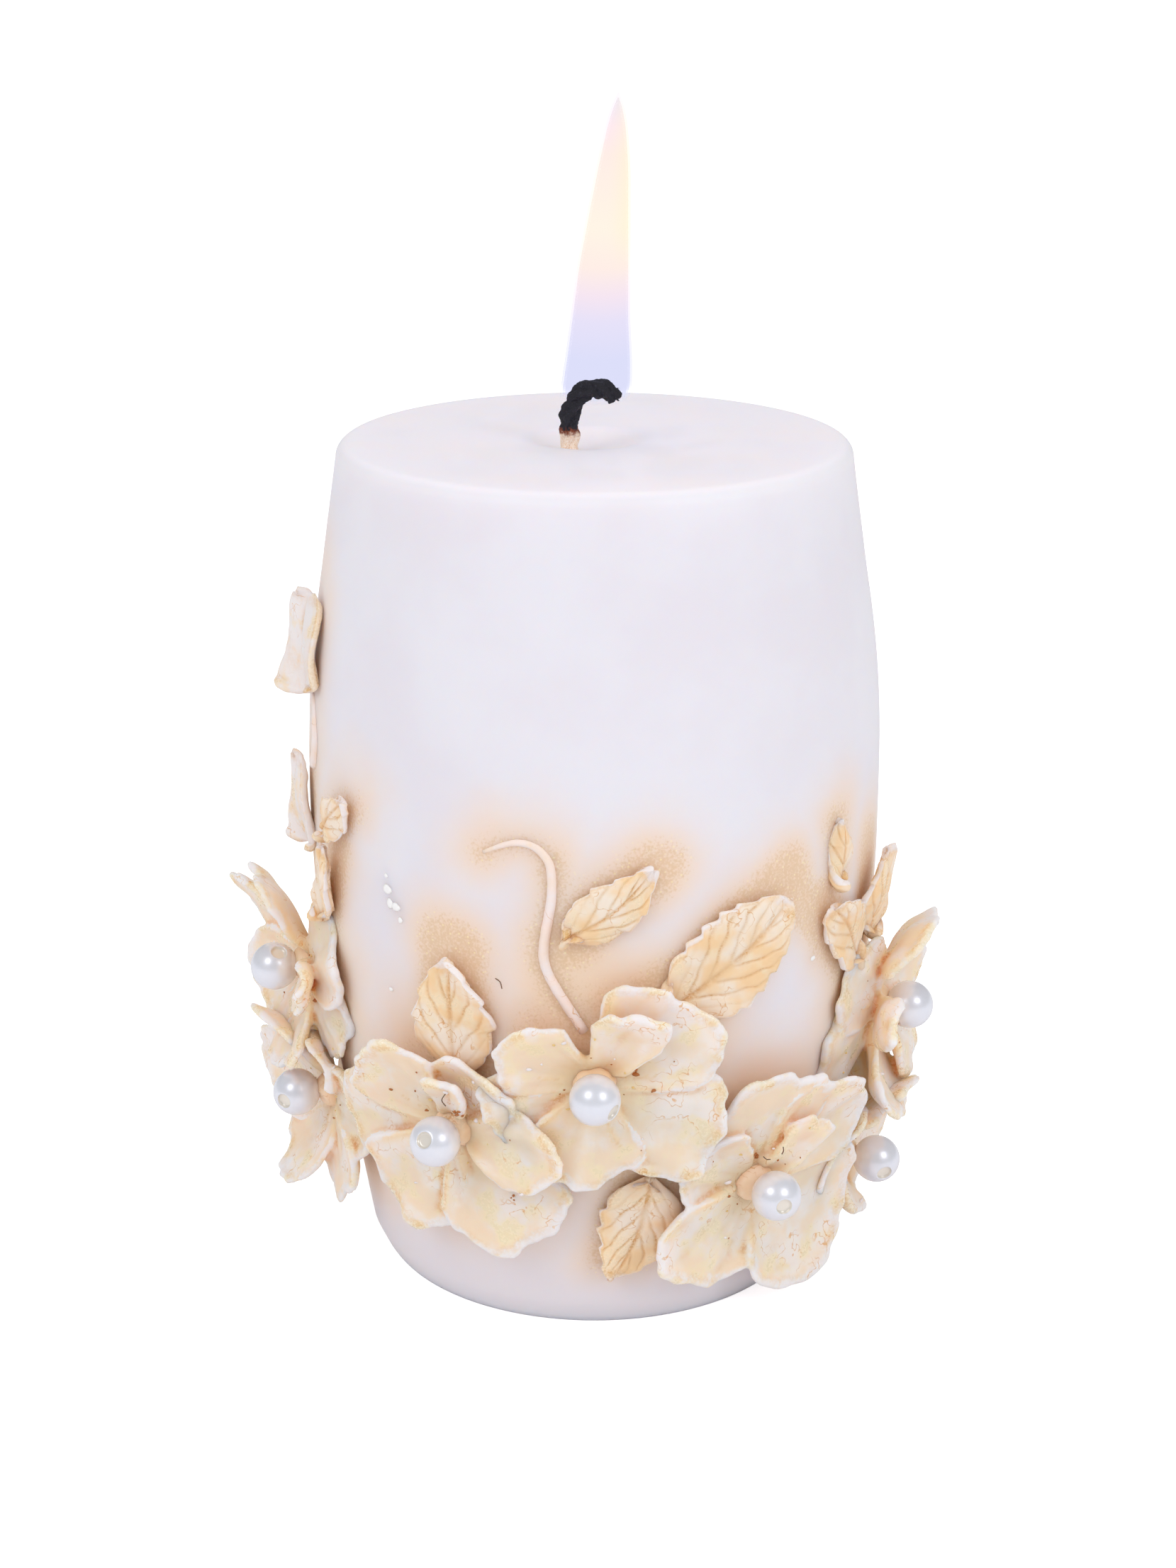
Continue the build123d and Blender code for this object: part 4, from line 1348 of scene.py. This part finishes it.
def wick_line(share):
    """A place on the wick's middle line, in millimetres, from its foot (0) to its burnt tip (1)."""
    run = share * (WICK_STRAIGHT + WICK_CURL)
    if run <= WICK_STRAIGHT:
        return Vector((WICK_X, WICK_Y, run))
    turn = (run - WICK_STRAIGHT) / CURL_WIDE
    x = WICK_X + CURL_WIDE * (1 - math.cos(turn))
    return Vector((x, WICK_Y, WICK_STRAIGHT + CURL_TALL * math.sin(turn)))


class CANDLE_OT_braid_wick(bpy.types.Operator):
    """Braid the cotton wick, char its end and fray its tip"""

    bl_idname = "candle.braid_wick"
    bl_label = "Braid wick"

    def execute(self, context):
        settings = context.scene.candle_wick
        buried = [self.strand(settings, i, 0.0, 0.885, 90) for i in range(STRANDS)]
        shown = [self.strand(settings, i, 0.87, 1.0, 60) for i in range(STRANDS)]
        shown += [self.stray(settings, i) for i in range(STRAYS)]
        burnt = join_pieces(shown, "wick_burnt_end")
        apply_modifier(burnt, "REMESH", mode="VOXEL", voxel_size=CHAR_VOXEL * MM)
        points = points_of(burnt)
        crust = 0.2 * rough(points, 0.8, 41) + 0.1 * rough(points, 0.3, 42)
        crust *= step(105.5 * MM, 107.5 * MM, points[:, 2])
        set_points(burnt, points + normals_of(burnt) * (crust * MM)[:, None])
        wick = join_pieces([burnt, *buried], "wick_cotton_braid")
        seat_piece(wick, charred_cotton(settings), "wick_cotton", "wick")
        return {"FINISHED"}

    def strand(self, settings, index, start, end, count):
        """One strand of the braid, winding round the wick's middle line."""
        places, radii = [], []
        for share in np.linspace(start, end, count):
            middle, ahead = wick_line(share), wick_line(min(share + 0.002, 1.002))
            forward = (ahead - middle).normalized()
            side = Vector((0, 1, 0))
            over = forward.cross(side)
            turn = index * math.tau / STRANDS + share * BRAID_LENGTH / BRAID_PITCH * math.tau / 2
            wide = BRAID_RADIUS * (1 + 0.14 * math.sin(share * 300 + index))
            places.append((middle + (side * math.cos(turn) + over * math.sin(turn)) * wide) * MM)
            radii.append(1.0 - 0.25 * max(0.0, (share - 0.98) / 0.02))
        return roll_tube(f"strand_{index}", "POLY", places, radii, settings.strand_radius, 3)

    def stray(self, settings, index):
        """A loose fibre bundle at the burnt tip."""
        chance = random.Random(60 + index)
        tip = wick_line(0.985)
        forward = (wick_line(1.0) - tip).normalized()
        start = tip + Vector([chance.uniform(-0.5, 0.5) for _ in range(3)])
        away = forward + Vector([chance.uniform(-0.75, 0.75) for _ in range(3)])
        length = chance.uniform(0.8, 1.7)
        radii = {0: 1.0, 0.35: 0.9, 0.7: 0.7, 1.0: 0.35}
        places = [
            (start + away * length * share + Vector((0, 0, 0.3 * share**2))) * MM for share in radii
        ]
        thickness = 0.4 * settings.strand_radius
        return roll_tube(f"stray_{index}", "POLY", places, radii.values(), thickness, 3)


class CANDLE_OT_light_flame(bpy.types.Operator):
    """Raise the flame behind the wick's curled end, as nested shells of glowing gas"""

    bl_idname = "candle.light_flame"
    bl_label = "Light flame"

    def execute(self, context):
        settings = context.scene.candle_flame
        for number, (shrink, opacity) in enumerate(FLAME_SHELLS):
            shell = self.draw_shell(f"flame_shell_{number + 1}", shrink)
            nodes = ["flame"] if number == 0 else []
            seat_piece(shell, burning_gas(settings, opacity), "flame", *nodes)
            shell.visible_shadow = False
        return {"FINISHED"}

    def draw_shell(self, name, shrink):
        """A closed shell inside the flame's outline, drawn in from it by the given millimetres."""
        heights, centres, widths = (np.array(column) for column in zip(*FLAME_OUTLINE))
        root = np.linspace(heights[0] + shrink, 112, 16)
        levels = np.concatenate([root, np.linspace(113, heights[-1] - 2 * shrink, 50)])
        middle = np.interp(levels, heights, centres)
        half = np.maximum(np.interp(levels, heights, widths) - shrink, 0.06)
        for _ in range(2):
            half[1:-1] = (half[:-2] + 2 * half[1:-1] + half[2:]) / 4
            middle[1:-1] = (middle[:-2] + 2 * middle[1:-1] + middle[2:]) / 4
        foot = (middle[0] * MM, self.behind(half[0]), levels[0] * MM)
        clear_selection()
        bpy.ops.mesh.primitive_circle_add(
            vertices=48, radius=half[0] * MM, fill_type="TRIFAN", location=foot
        )
        bpy.ops.object.transform_apply(location=True, rotation=True, scale=True)
        shell = name_piece(bpy.context.object, name)
        bpy.ops.object.mode_set(mode="EDIT")
        bpy.ops.mesh.select_all(action="SELECT")
        for low in range(len(levels) - 1):
            aside = (middle[low + 1] - middle[low]) * MM
            back = self.behind(half[low + 1]) - self.behind(half[low])
            move = Vector((aside, back, (levels[low + 1] - levels[low]) * MM))
            bpy.ops.mesh.extrude_region_move(TRANSFORM_OT_translate={"value": move})
            grow = half[low + 1] / half[low]
            centre = (middle[low + 1] * MM, self.behind(half[low + 1]), levels[low + 1] * MM)
            bpy.ops.transform.resize(value=(grow, grow, 1), center_override=centre)
        bpy.ops.object.mode_set(mode="OBJECT")
        recalculate_normals(shell)
        return shell

    def behind(self, half_width):
        """How far back the flame's middle is, in metres, so that its front stays behind the wick."""
        return (WICK_Y + 1.35 + 0.8 * half_width) * MM


class CANDLE_OT_finish_tab(bpy.types.Operator):
    """Give the wick's steel tab its metal finish"""

    bl_idname = "candle.finish_tab"
    bl_label = "Finish wick tab"

    def execute(self, context):
        tab = frame["nodes"]["wick_tab"]
        steel = tinned_steel()
        tab.data.materials.clear()
        tab.data.materials.append(steel)
        return {"FINISHED"}


# ---- The stage ----


class CANDLE_OT_set_stage(bpy.types.Operator):
    """Set the candle on a plain white table in even, soft light"""

    bl_idname = "candle.set_stage"
    bl_label = "Set stage"

    def execute(self, context):
        settings = context.scene.candle_stage
        self.lay_floor(settings)
        self.hang_lights(context, settings)
        self.place_camera(context)
        context.scene.view_settings.view_transform = "Standard"
        return {"FINISHED"}

    def lay_floor(self, settings):
        clear_selection()
        bpy.ops.mesh.primitive_circle_add(vertices=96, radius=TABLE_RADIUS, fill_type="NGON")
        floor = name_piece(bpy.context.object, "table_top")
        floor.data.materials.append(studio_floor(settings))

    def hang_lights(self, context, settings):
        world = bpy.data.worlds.new("even_studio_light")
        context.scene.world = world
        world.use_nodes = True
        tree = world.node_tree
        tree.nodes.clear()
        add = functools.partial(add_node, tree)
        seen = add("ShaderNodeLightPath", output="Is Camera Ray")
        shiny = add("ShaderNodeLightPath", output="Is Glossy Ray")
        drop = {0: shiny, 1: -settings.gloss_drop, 2: settings.sky_strength}
        dimmed = add("ShaderNodeMath", drop, operation="MULTIPLY_ADD")
        strength = add("ShaderNodeMath", {0: seen, 1: dimmed}, operation="MAXIMUM")
        light = add("ShaderNodeBackground", {"Color": (1.0, 1.0, 1.0), "Strength": strength})
        add("ShaderNodeOutputWorld", {"Surface": light})
        for name, place, size, share in SOFT_BOXES:
            lamp = bpy.data.lights.new(name, "AREA")
            lamp.shape = "DISK"
            lamp.size = size
            lamp.energy = settings.key_power * share
            lamp.color = SOFT_BOX_COLOUR
            stand = bpy.data.objects.new(name, lamp)
            context.collection.objects.link(stand)
            stand.location = place
            aim = Vector(SOFT_BOX_AIM) - Vector(place)
            stand.rotation_euler = aim.to_track_quat("-Z", "Y").to_euler()

    def place_camera(self, context):
        """The camera looks slightly down at the candle from near in front of it."""
        camera = bpy.data.cameras.new("front_camera")
        camera.lens = CAMERA_LENS
        camera.sensor_width = CAMERA_SENSOR
        camera.clip_start = 0.01
        stand = bpy.data.objects.new("front_camera", camera)
        context.collection.objects.link(stand)
        stand.location = CAMERA_PLACE
        stand.rotation_euler = (math.radians(90 - CAMERA_DIP), 0, 0)
        context.scene.camera = stand


class CANDLE_PT_panel(bpy.types.Panel):
    """The candle's steps in order, with the settings of each"""

    bl_label = "Pillar candle"
    bl_idname = "CANDLE_PT_panel"
    bl_space_type = "VIEW_3D"
    bl_region_type = "UI"
    bl_category = "Candle"

    def draw(self, context):
        for operator in OPERATORS:
            self.layout.operator(operator.bl_idname)
        for group_name, group in SETTINGS.items():
            box = self.layout.box()
            box.label(text=group_name.replace("_", " ").capitalize())
            for setting in group.__annotations__:
                box.prop(getattr(context.scene, group_name), setting)


OPERATORS = [
    CANDLE_OT_set_stage,
    CANDLE_OT_cast_body,
    CANDLE_OT_press_flowers,
    CANDLE_OT_press_leaves,
    CANDLE_OT_roll_stems,
    CANDLE_OT_scatter_crumbs,
    CANDLE_OT_set_pearls,
    CANDLE_OT_braid_wick,
    CANDLE_OT_light_flame,
    CANDLE_OT_finish_tab,
]


def register():
    for cls in [*SETTINGS.values(), *OPERATORS, CANDLE_PT_panel]:
        bpy.utils.register_class(cls)
    for group_name, group in SETTINGS.items():
        setattr(bpy.types.Scene, group_name, bpy.props.PointerProperty(type=group))


def unregister():
    for group_name in SETTINGS:
        delattr(bpy.types.Scene, group_name)
    for cls in reversed([*SETTINGS.values(), *OPERATORS, CANDLE_PT_panel]):
        bpy.utils.unregister_class(cls)


def main():
    register()
    bpy.ops.candle.set_stage()
    bpy.ops.candle.cast_body()
    bpy.ops.candle.press_flowers()
    bpy.ops.candle.press_leaves()
    bpy.ops.candle.roll_stems()
    bpy.ops.candle.scatter_crumbs()
    bpy.ops.candle.set_pearls()
    bpy.ops.candle.braid_wick()
    bpy.ops.candle.light_flame()
    bpy.ops.candle.finish_tab()


if __name__ == "__main__":
    main()
